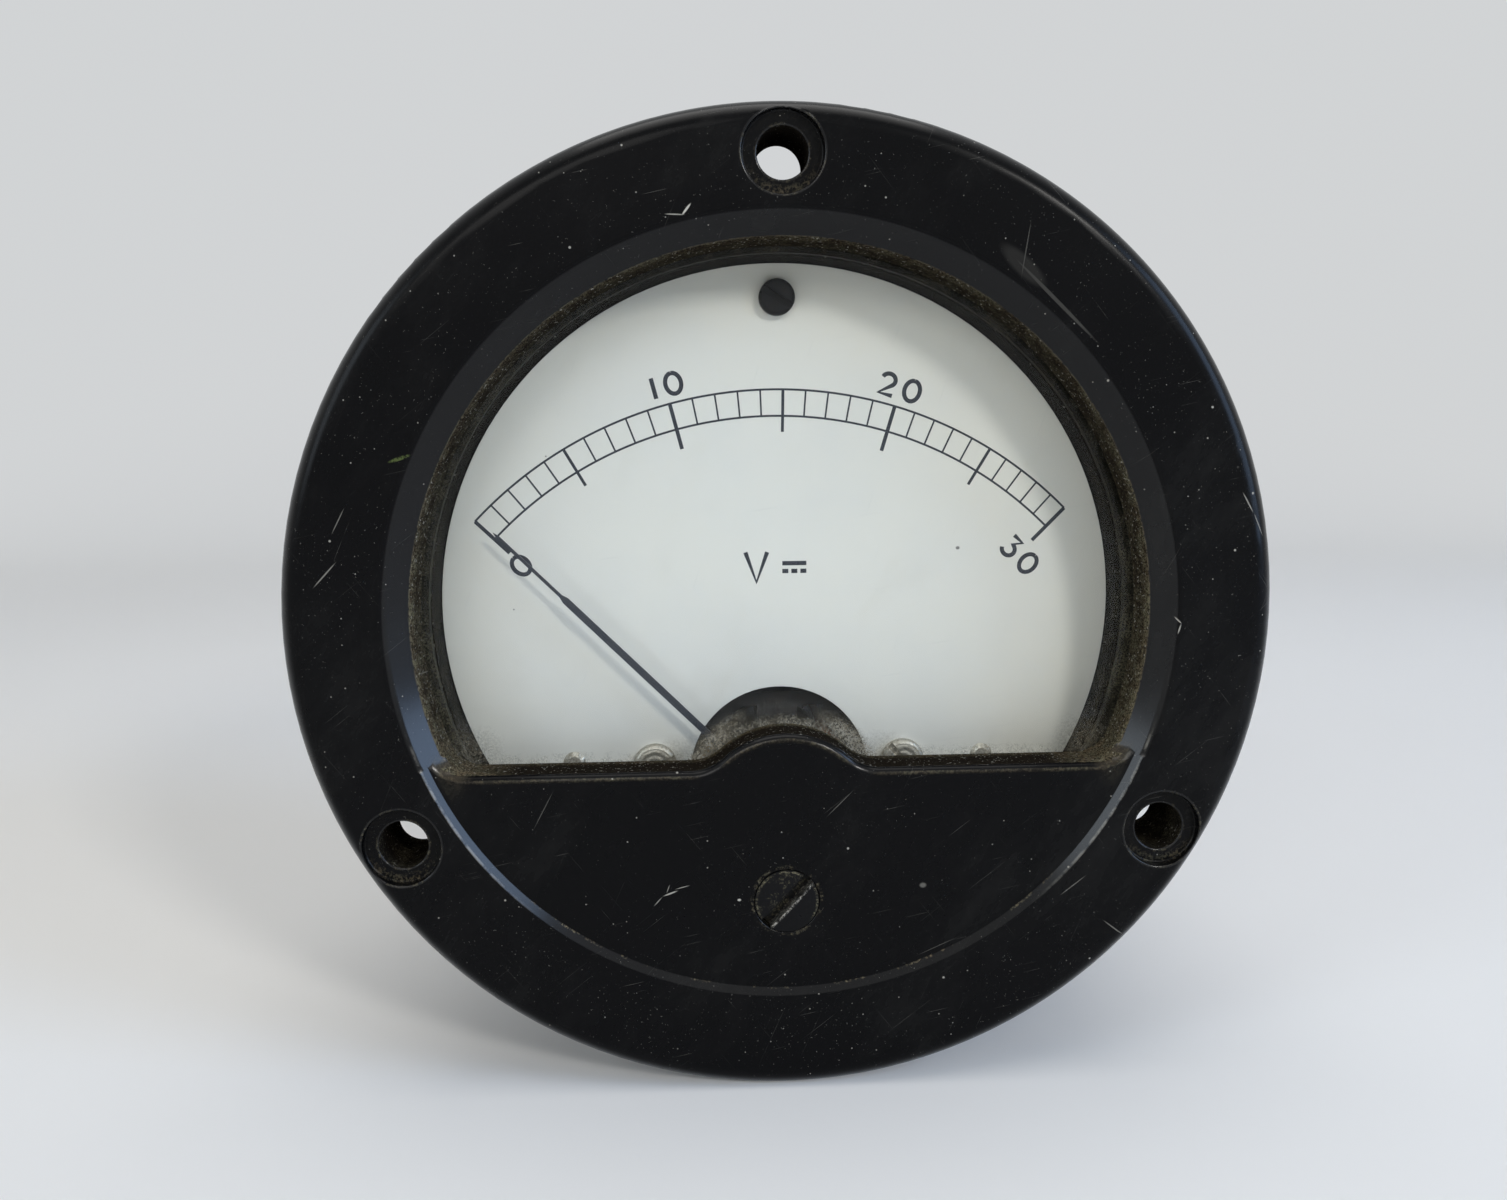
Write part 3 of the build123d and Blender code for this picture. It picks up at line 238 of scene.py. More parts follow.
def frontSoil(r, radius, holes, clump, fine):
    look, grit = frontLook, fine.over(0.45, 0.62)
    # partly painted light: the ridge's dust is drawn stronger towards the bottom, where its faces look up to the
    # lamps
    paintedLight = r.z.over(26, -14) * 0.5 + 0.4
    ridge = radius.near(look["ridge"], 0.2, 0.05) * r.depth.near(look["ridgeDepth"], 0.25, 0.06)
    ridge = ridge * fine.over(0.4, 0.52) * (clump.over(0.38, 0.56) * 0.6 + 0.4) * (paintedLight + 0.2)
    # a thin line of dust along the broken edge of the apron and its arch
    lip = r.depth.near(look["lipDepth"], 0.07, 0.01) * radius.over(33.6, 32.9)
    edge = r.z.near(look["apronTop"], 0.4, 0.2) * r.x.size().over(7.4, 9)
    edge = edge.most(r.fromPoint(*pivot).near(look["arch"], 0.4, 0.25) * r.z.over(-13.6, -12.8))
    lip = lip * edge * (grit * 0.8 + 0.2) * (clump.over(0.36, 0.6) * 0.6 + 0.3) * 0.5
    corner = r.fromPoint(*look["corner"], mirrored=True).over(2.6, 0.8) * radius.over(34.4, 34.0)
    corner = corner * r.depth.over(0.5, 0.65) * (grit * 0.5 + 0.3) * 0.45
    # the holes: dust on the lower side of each seat, rubbed rims
    foot = [(r.z - z).over(-0.8, -3.3) for x, z in mountPlaces]
    below = foot[0] * r.z.over(20, 22) + foot[1] * r.z.over(0, -2)
    seat = holes.over(3.75, 3.6) * r.depth.over(0.5, 1.1)
    seat = seat * holes.over(2.5, 3.1) * (below * grit * 0.34 + grit * 0.02)
    rim = holes.near(look["seat"], 0.14, 0.02) * r.depth.over(0.35, 0.1) * clump.over(0.46, 0.6) * grit * 0.35
    bore = holes.near(look["bore"], 0.2, 0.04) * clump.over(0.42, 0.6) * grit * 0.35
    gap = r.fromPoint(*zeroScrew).near(look["screwGap"], 0.3, 0.04) * clump.over(0.46, 0.62) * grit * 0.6
    groove = radius.near(look["groove"], 0.12, 0.03) * r.z.over(-22, -28)
    groove = groove * r.grain(2.4, 3, 0.6).over(0.5, 0.62) * grit * 0.8
    return lip.most(seat, rim, bore, gap, groove, ridge, corner).least(1.0)


def frontWearAndRimHighlight(r, radius, cloud, clump, hair, onFront):
    # pale specks, a rubbed foot, hairline scratches, a few single marks, and a painted highlight along the rim's
    # lower edge
    look, sparse = frontLook, r.grain(0.17, 2, 0.5)
    dots = sparse.over(0.68, 0.75)
    white = sparse.over(0.71, 0.77) * (cloud.over(0.36, 0.6) * 0.8 + 0.2) * 0.34
    white = white.most(r.specks(1.2, 0.07, 0.4) * 0.5, r.specks(3.0, 0.045, 0.6) * 0.65)
    rubbedFoot = r.fromPoint(*look["foot"]).over(10, 3) * dots * clump.over(0.4, 0.6) * 0.26
    roundScrew = r.fromPoint(*zeroScrew).over(6, 3) * dots * 0.4
    # painted highlight: a pale line along the rim's edge at the lower left and right, drawn as a worn edge
    edge = radius.near(look["rimPaintedHighlight"], 0.16, 0.03) * r.depth.over(0.5, 0.2) * r.x.size().over(22, 30)
    edge = edge * r.z.over(-9, -14) * clump.over(0.36, 0.6) * 0.4
    marks = white.most(rubbedFoot, roundScrew, hair, edge) * onFront
    for *shape, strength in frontMarks["lint"] + frontMarks["scratches"]:
        marks = marks.most(r.mark(*shape) * strength)
    return marks


def frontPolish(r, radius, holes):
    # the rim's slope, the apron's broken edge, the outer edge and the holes' rims keep their moulded polish
    look, side = frontLook, r.x.size()
    slope = radius.over(look["rim"] + 0.15, look["rim"] - 0.05) * radius.over(33.0, 33.15) * r.depth.over(0, 0.06)
    broken = radius.over(33.2, 33.0) * r.depth.over(1.15, 0.95) * side.over(26, 20)
    flat = r.depth.near(look["apronDepth"], 0.03, 0.015) * radius.over(34.62, 34.5)
    flat = flat.most(r.z.near(-14.1, 0.6, 0.45) * radius.over(34.6, 34.3) * side.over(26, 28))
    outer = radius.over(look["outerEdge"], look["outerEdge"] + 0.7) * r.depth.over(2.6, 1.4)
    rims = holes.near(look["seat"], 0.15, 0.1).most(holes.near(2.28, 0.12, 0.08))
    return (slope.most(broken * 0.6) * (1 - flat)).most(outer, rims) * look["polish"]


def phenolicFront():
    look = frontLook
    r = Recipe("phenolicFront", Specular_IOR_Level=0.085, Coat_Roughness=0.16, Coat_IOR=1.5)
    radius = r.fromPoint(0, 0)
    first, *others = [r.fromPoint(x, z) for x, z in mountPlaces]
    holes = first.least(others[0]).least(others[1])
    cloud, clump, fine = r.grain(9, 4, 0.6), r.grain(1.7, 4, 0.7), r.grain(0.3, 4, 0.75)
    onFront = r.depth.over(1.6, 1.2)
    hair = r.scratches(38, 7, 0.05, 0.006).most(r.scratches(-52, 5, 0.05, 0.006), r.scratches(12, 3, 0.05, 0.007),
                                                r.scratches(66, 9, 0.05, 0.005))
    hair = hair * r.grain(3, 3).over(0.44, 0.62) * look["scratched"]
    soil = frontSoil(r, radius, holes, clump, fine)
    marks = frontWearAndRimHighlight(r, radius, cloud, clump, hair, onFront)
    rubbed = r.grain(13, 6, 0.72, (1, 1, 2.2), (0, radians(35), 0)).over(0.46, 0.76) * onFront
    colour = r.mix(rubbed * 0.75, look["black"], look["worn"])
    colour = r.mix(soil, colour, r.mix(clump.over(0.35, 0.65), dust["tan"], dust["olive"]))
    colour = r.mix(r.mark(*frontMarks["moss"]) * fine.over(0.4, 0.6), colour, dust["moss"])
    colour = r.mix(marks.least(1.0), colour, dust["pale"])
    rough = look["roughness"] + cloud * 0.08 + rubbed * 0.12 + soil * 0.5 + marks * 0.3
    height = fine * 0.3 + r.grain(2.2, 2) * 0.7 - hair * 2.0 + soil * fine * 4.0
    return r.finish(Base_Color=colour, Roughness=rough.least(1.0), Normal=r.bump(height, look["peel"]),
                    Coat_Weight=frontPolish(r, radius, holes) * (1 - soil))


def windowWall():
    # the wall in front of the glass is matt with dust, thickest behind the ridge and in the lower corners, and drawn
    # stronger towards the bottom, partly as painted light
    look = {"clean": (0.0045, 0.0036, 0.003), "dull": (0.011, 0.0085, 0.0065), "roughness": 0.8,
            "corner": (29.2, -12.2), "arch": 8.7}
    r = Recipe("windowWall", Specular_IOR_Level=0.0)
    clump, fine = r.grain(1.5, 4, 0.7), r.grain(0.2, 5, 0.85)
    grit = fine.over(0.44, 0.58)
    # partly painted light: the dust grows towards the bottom, where the wall faces up to the lamps
    paintedLight = r.z.over(26, -12) * 0.55 + 0.35
    nearRidge, atGlass = r.depth.over(3.1, 1.9), r.depth.over(3.2, 4.4)
    upright = r.fromPoint(0, 0).over(32.0, 32.3)
    wall = upright * (nearRidge * 0.6 + 0.5) * (clump.over(0.38, 0.6) * 0.7 + 0.3) * paintedLight * 1.3
    corner = r.fromPoint(*look["corner"], mirrored=True).over(6.0, 1.0) * 0.75
    ledge = (1 - upright) * (atGlass * 0.4 + 0.05)
    archFoot = r.fromPoint(*pivot).near(look["arch"], 0.4, 0.1) * r.z.over(-14.3, -13) * atGlass * 0.7
    soil = (wall.most(corner, ledge, archFoot) * (grit * 0.9 + 0.1)).least(1.0)
    colour = r.mix(clump, look["clean"], look["dull"])
    colour = r.mix(soil, colour, r.mix(clump.over(0.35, 0.62), dust["tan"], dust["olive"]))
    colour = r.mix(r.grain(0.26, 2, 0.5).over(0.64, 0.7) * 0.5, colour, dust["pale"])
    for *shape, strength in frontMarks["fibres"]:
        colour = r.mix(r.mark(*shape, reach=6) * strength, colour, dust["pale"])
    return r.finish(Base_Color=colour, Roughness=look["roughness"] + clump * 0.15, Normal=r.bump(fine + soil, 0.02))


def phenolicCase():
    look = {"black": (0.0035, 0.0035, 0.0038), "grey": (0.012, 0.0115, 0.011), "roughness": 0.28,
            "turned": 0.35, "rear": 35.9}
    r = Recipe("phenolicCase", Specular_IOR_Level=0.2)
    radius = r.fromPoint(0, 0)
    cloud, fine = r.grain(11, 4, 0.6), r.grain(0.5, 4, 0.7)
    flow = r.grain(6, 4, 0.6, (1, 5, 1), twist=0.6).over(0.48, 0.72)
    white = r.grain(0.19, 2, 0.5).over(0.70, 0.76) * cloud.over(0.35, 0.6)
    rear = r.y.over(look["rear"] - 0.5, look["rear"])
    lines = r.scratches(25, 6, 0.08, 0.012).most(r.scratches(-65, 5, 0.08, 0.012)) * rear
    soil = radius.over(33.2, 34.9) * r.y.over(1.6, 0.1) * fine.over(0.35, 0.65) * cloud.over(0.35, 0.7) * 0.5
    low = r.z.over(-20, -34) * cloud.over(0.42, 0.7) * fine.over(0.4, 0.65) * 0.35
    colour = r.mix(flow * 0.5 + cloud * 0.2, look["black"], look["grey"])
    colour = r.mix((soil * 0.5).most(low), colour, dust["olive"])
    colour = r.mix(white * 0.4 + lines * 0.2, colour, dust["pale"])
    rough = look["roughness"] + cloud * 0.14 + flow * 0.08 + soil * 0.3 + white * 0.3
    height = fine * 0.4 + r.grain(3, 2) + radius.wave(look["turned"]) * rear * 0.12
    return r.finish(Base_Color=colour, Roughness=rough.least(1.0), Normal=r.bump(height, 0.005))


def caseBore():
    # the inside of the barrel: dull, brown-black and gritty, paler with dust towards its foot
    look = {"clean": (0.0055, 0.0045, 0.0040), "dull": (0.012, 0.0095, 0.0075), "roughness": 0.8}
    r = Recipe("caseBore", Specular_IOR_Level=0.0)
    clump, fine = r.grain(1.8, 4, 0.7), r.grain(0.2, 5, 0.85)
    grit = fine.over(0.46, 0.6) * (clump.over(0.4, 0.62) * 0.8 + 0.2) * (r.z.over(26, -12) * 0.55 + 0.15)
    colour = r.mix(clump, look["clean"], look["dull"])
    colour = r.mix(grit * 0.6, colour, dust["olive"])
    colour = r.mix(r.grain(0.26, 2, 0.5).over(0.66, 0.72) * 0.4, colour, dust["pale"])
    return r.finish(Base_Color=colour, Roughness=look["roughness"] + clump * 0.15, Normal=r.bump(fine + clump, 0.02))


def zeroHead():
    # a black slotted head; dirt fills its slot, and the lower edge of the slot is drawn pale, as rubbing and as a
    # painted highlight
    look = {"black": (0.0042, 0.0042, 0.0046), "roughness": 0.24, "slotTurn": 47, "slotHalf": 0.55, "rim": 2.8}
    r = Recipe("zeroHead", Specular_IOR_Level=0.11)
    fine, clump = r.grain(0.2, 4, 0.75), r.grain(0.9, 4, 0.7)
    grit, turn, half = fine.over(0.44, 0.6), radians(look["slotTurn"]), look["slotHalf"]
    up = r.z - zeroScrew[1]
    across = up * cos(turn) - r.x * sin(turn)
    inSlot = across.size().over(half * 1.1, half * 0.8)
    # partly painted highlight: only the slot's lower edge, which faces up to the light, is drawn pale
    edge = across.near(-half * 1.15, 0.2, 0.03) * clump.over(0.36, 0.55) * grit
    # dust on the head's rim, kept to the upper left and the right, where it also stands in for a painted highlight
    # on the edge
    rim = r.fromPoint(*zeroScrew).near(look["rim"], 0.16, 0.03) * clump.over(0.38, 0.56) * grit
    rim = rim * (up - r.x).over(-0.5, 2.0).most(r.x.over(2.0, 2.6))
    top = clump.over(0.5, 0.66) * grit * across.over(0.3, 1.0)
    soil = (inSlot * clump.over(0.42, 0.66) * grit * 0.4).most(rim * 0.9, top * 0.5)
    colour = r.mix(soil, look["black"], dust["olive"])
    colour = r.mix(edge * 0.85, colour, dust["pale"])
    rough = look["roughness"] + clump * 0.12 + soil * 0.4 + edge * 0.3
    return r.finish(Base_Color=colour, Roughness=rough.least(1.0), Normal=r.bump(clump * 0.7 + fine * 0.3, 0.03))


def clearGlass():
    # clear where it is clean, where only its faint mirror shows, and matt where dust lies on it
    look = {"tint": (0.985, 0.99, 0.985), "mirror": 0.3, "mirrorTint": (0.9, 0.92, 0.92), "thickest": 0.8,
            "dark": (0.22, 0.19, 0.135), "pale": (0.32, 0.305, 0.255)}
    r = Recipe("clearGlass", Specular_IOR_Level=0.1)
    fine, clump = r.grain(0.16, 2, 0.6), r.grain(1.4, 4, 0.7)
    grit = fine.over(0.4, 0.62)
    fromArch, side = r.fromPoint(*pivot), r.x.size()
    arch = fromArch.over(10.9, 9.6) * (side.over(2.5, 6.5) * 0.95 + 0.05)
    arch = arch.most(fromArch.over(9.5, 8.8) * 0.6) * r.z.over(-15.5, -14.5)
    arch = (arch * (grit * 0.85 + 0.15) * (clump.over(0.34, 0.62) * 0.6 + 0.4) * 1.2).least(0.9)
    feet = side.near(9.6, 2.8, 0.4) * r.z.over(-10.8, -13.6) * (grit * 0.5 + 0.3) * 0.22
    ends = side.over(25, 30) * r.z.over(-9.5, -13.4) * grit * 0.4
    low = r.z.over(-12.9, -13.7) * grit * clump.over(0.4, 0.65) * 0.35
    streaks = r.grain(0.5, 4, 0.7, (1, 1, 5)).over(0.5, 0.7) * fromArch.near(10.3, 1.2, 0.2)
    streaks = streaks * r.x.over(1.5, -2) * fromArch.over(10.9, 10.6) * 0.22
    rim = r.fromPoint(0, 0).over(32.0, 32.9) * clump.over(0.5, 0.7) * grit * 0.25
    fleck = r.grain(0.2, 2, 0.5).over(0.74, 0.78) * 0.25
    dirt = arch.most(feet, ends, low, streaks, rim, fleck).least(look["thickest"])
    clean = dirt.over(0.05, 0.01)
    gloss = r.node("ShaderNodeFresnel", None, {"IOR": 1.45}) * look["mirror"]
    clear = r.node("ShaderNodeBsdfTransparent", None, {"Color": (*look["tint"], 1)})
    tone = r.mix(clump.over(0.3, 0.7), look["dark"], look["pale"])
    r.finish(Base_Color=r.mix(clean, tone, look["mirrorTint"]), Metallic=clean, Roughness=0.8 - clean * 0.77)
    return r.layered((gloss + dirt).least(1.0), clear, r.own())


def dialEnamel():
    look = {"cream": (0.79, 0.785, 0.735), "cool": (0.72, 0.73, 0.715), "agedAndEdgeShade": (0.63, 0.61, 0.53),
            "scratch": (0.3, 0.31, 0.33), "speck": (0.05, 0.05, 0.055), "roughness": 0.42}
    r = Recipe("dialEnamel", Specular_IOR_Level=0.4)
    cloud = r.grain(16, 4, 0.6).over(0.35, 0.75)
    smudge = r.grain(5, 4, 0.65, (1, 1, 2.4), (0, radians(25), 0)).over(0.56, 0.82)
    fine = r.grain(0.25, 3)
    # painted shade: the dial darkens towards its outer edge, under the bezel's wall; the smudges that share this
    # colour are stains
    edge = r.fromPoint(0, 0).over(24, 32.4)
    dots = r.specks(4.2, 0.022, 0.3).most(r.specks(2.6, 0.02, 0.14))
    hair = r.scratches(8, 5, 0.09, 0.012).most(r.scratches(72, 4, 0.08, 0.012))
    colour = r.mix(cloud * 0.55, look["cream"], look["cool"])
    colour = r.mix((smudge * 0.25 + edge * 0.6).least(1.0), colour, look["agedAndEdgeShade"])
    colour = r.mix(hair * 0.12, colour, look["scratch"])
    dots = dots.most(r.mark(17.4, 5.3, 0, 0.5, 0.4, (dialY - faceY) / mm))
    colour = r.mix(dots * 0.8, colour, look["speck"])
    rough = look["roughness"] + cloud * 0.12 + fine * 0.1
    return r.finish(Base_Color=colour, Roughness=rough, Normal=r.bump(fine + cloud * 0.5, 0.002))


def printInk():
    look = {"ink": (0.017, 0.021, 0.031), "thin": (0.042, 0.05, 0.066), "roughness": 0.5}
    r = Recipe("printInk", Specular_IOR_Level=0.35)
    patch = r.grain(1.6, 4, 0.7).over(0.4, 0.75)
    fine = r.grain(0.12, 3, 0.7)
    colour = r.mix(patch * 0.6 + fine * 0.25, look["ink"], look["thin"])
    return r.finish(Base_Color=colour, Roughness=look["roughness"] + patch * 0.2, Normal=r.bump(fine, 0.002))


def metal(name, colour, deep, stain, roughness, patch, grain, spots, tarnish, depth,
          metallic=1.0, gloss=0.5, along=None):
    # one recipe for the bare, plated and blackened metals; each finish has its own values
    r = Recipe(name, Specular_IOR_Level=gloss)
    cloud = r.grain(patch, 4, 0.62).over(0.38, 0.76)
    brushed = r.grain(grain, 4, 0.7, along)
    spot = r.specks(patch * 0.35, 0.16, spots)
    tone = r.mix(brushed * 0.5 + cloud * 0.35, colour, deep)
    tone = r.mix(cloud * tarnish + spot * 0.6, tone, stain)
    rough = roughness + brushed * 0.16 + cloud * 0.12 + spot * 0.3
    shine = metallic - spot * 0.5 * metallic - cloud * tarnish * 0.5
    return r.finish(Base_Color=tone, Metallic=shine.most(0.0), Roughness=rough.least(1.0),
                    Normal=r.bump(brushed + spot * 0.6, depth))


metals = {
    "nickelPlate": {
        "colour": (0.62, 0.60, 0.55), "deep": (0.43, 0.41, 0.37), "stain": (0.16, 0.13, 0.09),
        "roughness": 0.2, "patch": 1.3, "grain": 0.12, "spots": 0.12, "tarnish": 0.3, "depth": 0.003},
    "blackenedSteel": {
        "colour": (0.0075, 0.0075, 0.009), "deep": (0.004, 0.004, 0.005), "stain": (0.05, 0.043, 0.033),
        "metallic": 0.0, "gloss": 0.1, "roughness": 0.3,
        "patch": 1.2, "grain": 0.1, "spots": 0.18, "tarnish": 0.12, "depth": 0.005},
    # dark iron: the magnet's own colour, and painted shade on the other movement parts it is given to
    "darkIronAndShade": {
        "colour": (0.028, 0.027, 0.027), "deep": (0.016, 0.015, 0.016), "stain": (0.045, 0.028, 0.018),
        "metallic": 0.4, "gloss": 0.3, "roughness": 0.45,
        "patch": 3, "grain": 0.2, "spots": 0.15, "tarnish": 0.25, "depth": 0.006},
    # dark brass: tarnish, and painted shade on the bottom core spacer
    "darkBrassAndShade": {
        "colour": (0.11, 0.078, 0.042), "deep": (0.06, 0.042, 0.024), "stain": (0.035, 0.024, 0.015),
        "metallic": 0.6, "gloss": 0.3, "roughness": 0.42,
        "patch": 2, "grain": 0.15, "spots": 0.2, "tarnish": 0.4, "depth": 0.006},
    "softIron": {
        "colour": (0.30, 0.30, 0.31), "deep": (0.19, 0.19, 0.20), "stain": (0.14, 0.075, 0.04),
        "metallic": 0.95, "roughness": 0.36, "along": (1, 6, 1),
        "patch": 3, "grain": 0.2, "spots": 0.15, "tarnish": 0.25, "depth": 0.006},
    "yellowBrass": {
        "colour": (0.70, 0.53, 0.26), "deep": (0.55, 0.39, 0.16), "stain": (0.20, 0.12, 0.05),
        "roughness": 0.24, "along": (5, 1, 1),
        "patch": 2, "grain": 0.15, "spots": 0.1, "tarnish": 0.35, "depth": 0.004},
    "platedBrass": {
        "colour": (0.62, 0.57, 0.48), "deep": (0.46, 0.41, 0.33), "stain": (0.25, 0.17, 0.08),
        "roughness": 0.22, "along": (1, 5, 1),
        "patch": 2.4, "grain": 0.14, "spots": 0.12, "tarnish": 0.35, "depth": 0.004},
    "springBronze": {
        "colour": (0.60, 0.39, 0.20), "deep": (0.42, 0.25, 0.12), "stain": (0.14, 0.07, 0.04),
        "roughness": 0.26, "patch": 1.5, "grain": 0.1, "spots": 0.06, "tarnish": 0.25, "depth": 0.002},
    "sheetAluminium": {
        "colour": (0.74, 0.74, 0.75), "deep": (0.58, 0.58, 0.60), "stain": (0.34, 0.34, 0.35),
        "roughness": 0.28, "along": (1, 1, 6),
        "patch": 2, "grain": 0.14, "spots": 0.05, "tarnish": 0.2, "depth": 0.003},
    "pivotSteel": {
        "colour": (0.55, 0.56, 0.58), "deep": (0.40, 0.41, 0.43), "stain": (0.2, 0.17, 0.14),
        "roughness": 0.14, "along": (1, 8, 1),
        "patch": 1, "grain": 0.06, "spots": 0.04, "tarnish": 0.1, "depth": 0.001},
    "needlePaint": {
        "colour": (0.022, 0.028, 0.042), "deep": (0.011, 0.014, 0.022), "stain": (0.32, 0.32, 0.31),
        "metallic": 0.1, "roughness": 0.4,
        "patch": 0.9, "grain": 0.12, "spots": 0.1, "tarnish": 0.04, "depth": 0.003},
}


def dialScrewPlate():
    # turned nickel heads with fine rings, gone dull under a film of dust
    look = {"nickel": (0.60, 0.58, 0.52), "shade": (0.44, 0.42, 0.37), "film": (0.30, 0.27, 0.21),
            "head": (12.15, -15.55), "ring": 0.62, "roughness": 0.34}
    r = Recipe("dialScrewPlate", Metallic=0.85)
    rings = r.fromPoint(*look["head"], mirrored=True).wave(look["ring"]) * 0.5 + 0.5
    film = r.grain(0.3, 4, 0.75).over(0.42, 0.64)
    cloud = r.grain(1.2, 3)
    colour = r.mix(cloud * 0.6, look["nickel"], look["shade"])
    colour = r.mix(film * 0.45 + rings * 0.15, colour, look["film"])
    return r.finish(Base_Color=colour, Roughness=look["roughness"] + film * 0.3 + cloud * 0.1,
                    Normal=r.bump(rings + film * 0.3, 0.04))


def studPlate():
    # bright nickel, darker in the roots of the thread: old dirt there, and painted shade
    look = {"nickel": (0.62, 0.60, 0.55), "shade": (0.43, 0.41, 0.37), "dirt": (0.07, 0.055, 0.04),
            "axis": (12.7, 0), "roughness": 0.2}
    r = Recipe("studPlate", Metallic=1.0)
    axis = r.fromPoint(*look["axis"], mirrored=True)
    # partly painted shade: the roots of the thread are darkened
    root = axis.over(2.92, 2.68) * axis.over(2.3, 2.6) * r.y.over(36, 37)
    cloud, film = r.grain(1.3, 4, 0.6), r.grain(0.25, 4, 0.7)
    colour = r.mix(cloud * 0.7, look["nickel"], look["shade"])
    colour = r.mix(root * (film * 0.5 + 0.45), colour, look["dirt"])
    return r.finish(Base_Color=colour, Roughness=look["roughness"] + film * 0.15 + root * 0.25,
                    Normal=r.bump(film, 0.003))


def windingWire():
    # varnished copper turns laid side by side round the frame
    look = {"copper": (0.46, 0.16, 0.07), "shade": (0.16, 0.045, 0.02), "varnish": (0.30, 0.08, 0.035),
            "turn": 0.11}
    r = Recipe("windingWire", Roughness=0.3, Metallic=0.75)
    uneven = r.grain(2) * 3
    wire = (r.z.wave(look["turn"], uneven) + r.x.wave(look["turn"], uneven)) * 0.25 + 0.5
    varnish = r.grain(1.2, 3).over(0.4, 0.7)
    colour = r.mix(wire, look["shade"], r.mix(varnish * 0.6, look["copper"], look["varnish"]))
    return r.finish(Base_Color=colour, Normal=r.bump(wire, 0.02))


def rubberRing():
    # old black rubber, with the same dust on it as the walls round it
    look = {"black": (0.006, 0.0055, 0.005), "grey": (0.014, 0.0125, 0.011), "roughness": 0.6}
    r = Recipe("rubberRing", Specular_IOR_Level=0.1)
    fine, cloud = r.grain(0.2, 4, 0.8), r.grain(1.8, 4, 0.7)
    dusty = fine.over(0.42, 0.58) * (cloud.over(0.38, 0.62) * 0.7 + 0.3) * (r.z.over(26, -12) * 0.5 + 0.3)
    colour = r.mix(cloud, look["black"], look["grey"])
    colour = r.mix(dusty * 0.9, colour, dust["olive"])
    return r.finish(Base_Color=colour, Roughness=look["roughness"] + cloud * 0.2 + dusty * 0.2,
                    Normal=r.bump(fine + cloud, 0.01))


def rubyJewel():
    r = Recipe("rubyJewel", Roughness=0.06, Transmission_Weight=0.35, IOR=1.76, Coat_Weight=0.3)
    cloud = r.grain(0.5, 3)
    return r.finish(Base_Color=r.mix(cloud, (0.42, 0.012, 0.05), (0.62, 0.03, 0.10)))


def spoolResin():
    look = {"resin": (0.24, 0.115, 0.05), "dark": (0.10, 0.042, 0.018), "turn": 0.45}
    r = Recipe("spoolResin", Specular_IOR_Level=0.5)
    turns = r.x.wave(look["turn"]) * 0.5 + 0.5
    middle = r.x.size().over(6.6, 6.2)
    cloud = r.grain(2, 4).over(0.4, 0.7)
    colour = r.mix((1 - turns) * middle * 0.7 + cloud * 0.3, look["resin"], look["dark"])
    return r.finish(Base_Color=colour, Roughness=0.32 + cloud * 0.2,
                    Normal=r.bump(turns * middle + r.grain(0.4) * 0.2, 0.06))


def leadSleeve():
    r = Recipe("leadSleeve", Specular_IOR_Level=0.4)
    weave = r.grain(0.22, 3, 0.6, (1, 3, 1))
    soiled = r.grain(3, 4).over(0.45, 0.75)
    colour = r.mix(weave * 0.5, (0.42, 0.045, 0.035), (0.25, 0.02, 0.018))
    colour = r.mix(soiled * 0.4, colour, (0.10, 0.04, 0.03))
    return r.finish(Base_Color=colour, Roughness=0.5 + weave * 0.2, Normal=r.bump(weave, 0.04))


paints = {name: metal(name, **look) for name, look in metals.items()}
for recipe in (phenolicFront, windowWall, phenolicCase, caseBore, zeroHead, clearGlass, dialEnamel, printInk,
               dialScrewPlate, studPlate, windingWire, rubberRing, rubyJewel, spoolResin, leadSleeve):
    paints[recipe.__name__] = recipe()
print("materials made:", len(paints))

slotPaint = {
    "phenolic": "phenolicCase", "window_glass": "clearGlass", "gasket_rubber": "rubberRing",
    "nickel_steel": "nickelPlate", "black_steel": "blackenedSteel", "dial_enamel": "dialEnamel",
    "soft_iron": "softIron", "magnet_steel": "darkIronAndShade", "brass": "yellowBrass", "nickel_brass": "platedBrass",
    "bronze": "springBronze", "aluminium": "sheetAluminium", "needle_black": "needlePaint",
    "copper_winding": "windingWire", "jewel": "rubyJewel", "pivot_steel": "pivotSteel", "spool": "spoolResin",
    "lead_insulation": "leadSleeve",
}
nodeSlot = {part["node"]: part["material_slot"] for part in frame["record"]["subparts"]}
nodeBody = {node: body for body, members in frame["record"]["behaviour"]["bodies"].items() for node in members}
nodePaint = {node: slotPaint[slot] for node, slot in nodeSlot.items()}
# painted shade: the pole shoes, the front bridge and the top core spacer get the dark iron, and the bottom spacer
# the dark brass, so that the movement reads as shaded inside the case
nodePaint.update(bezel="phenolicFront", zero_screw="zeroHead", pole_shoe_left="darkIronAndShade", pole_shoe_right="darkIronAndShade",
                 front_bridge="darkIronAndShade", core_spacer_top="darkIronAndShade", core_spacer_bottom="darkBrassAndShade",
                 dial_screws="dialScrewPlate", dial_rivets="dialScrewPlate", terminal_stud_left="studPlate",
                 terminal_stud_right="studPlate")
for node, piece in frame["nodes"].items():
    piece.data.materials.clear()
    piece.data.materials.append(paints[nodePaint[node]])

meshing = {"weld": 0.001 * mm, "seal": 0.0005 * mm, "flat": 0.4, "sharp": 28}   # flat and sharp are in degrees


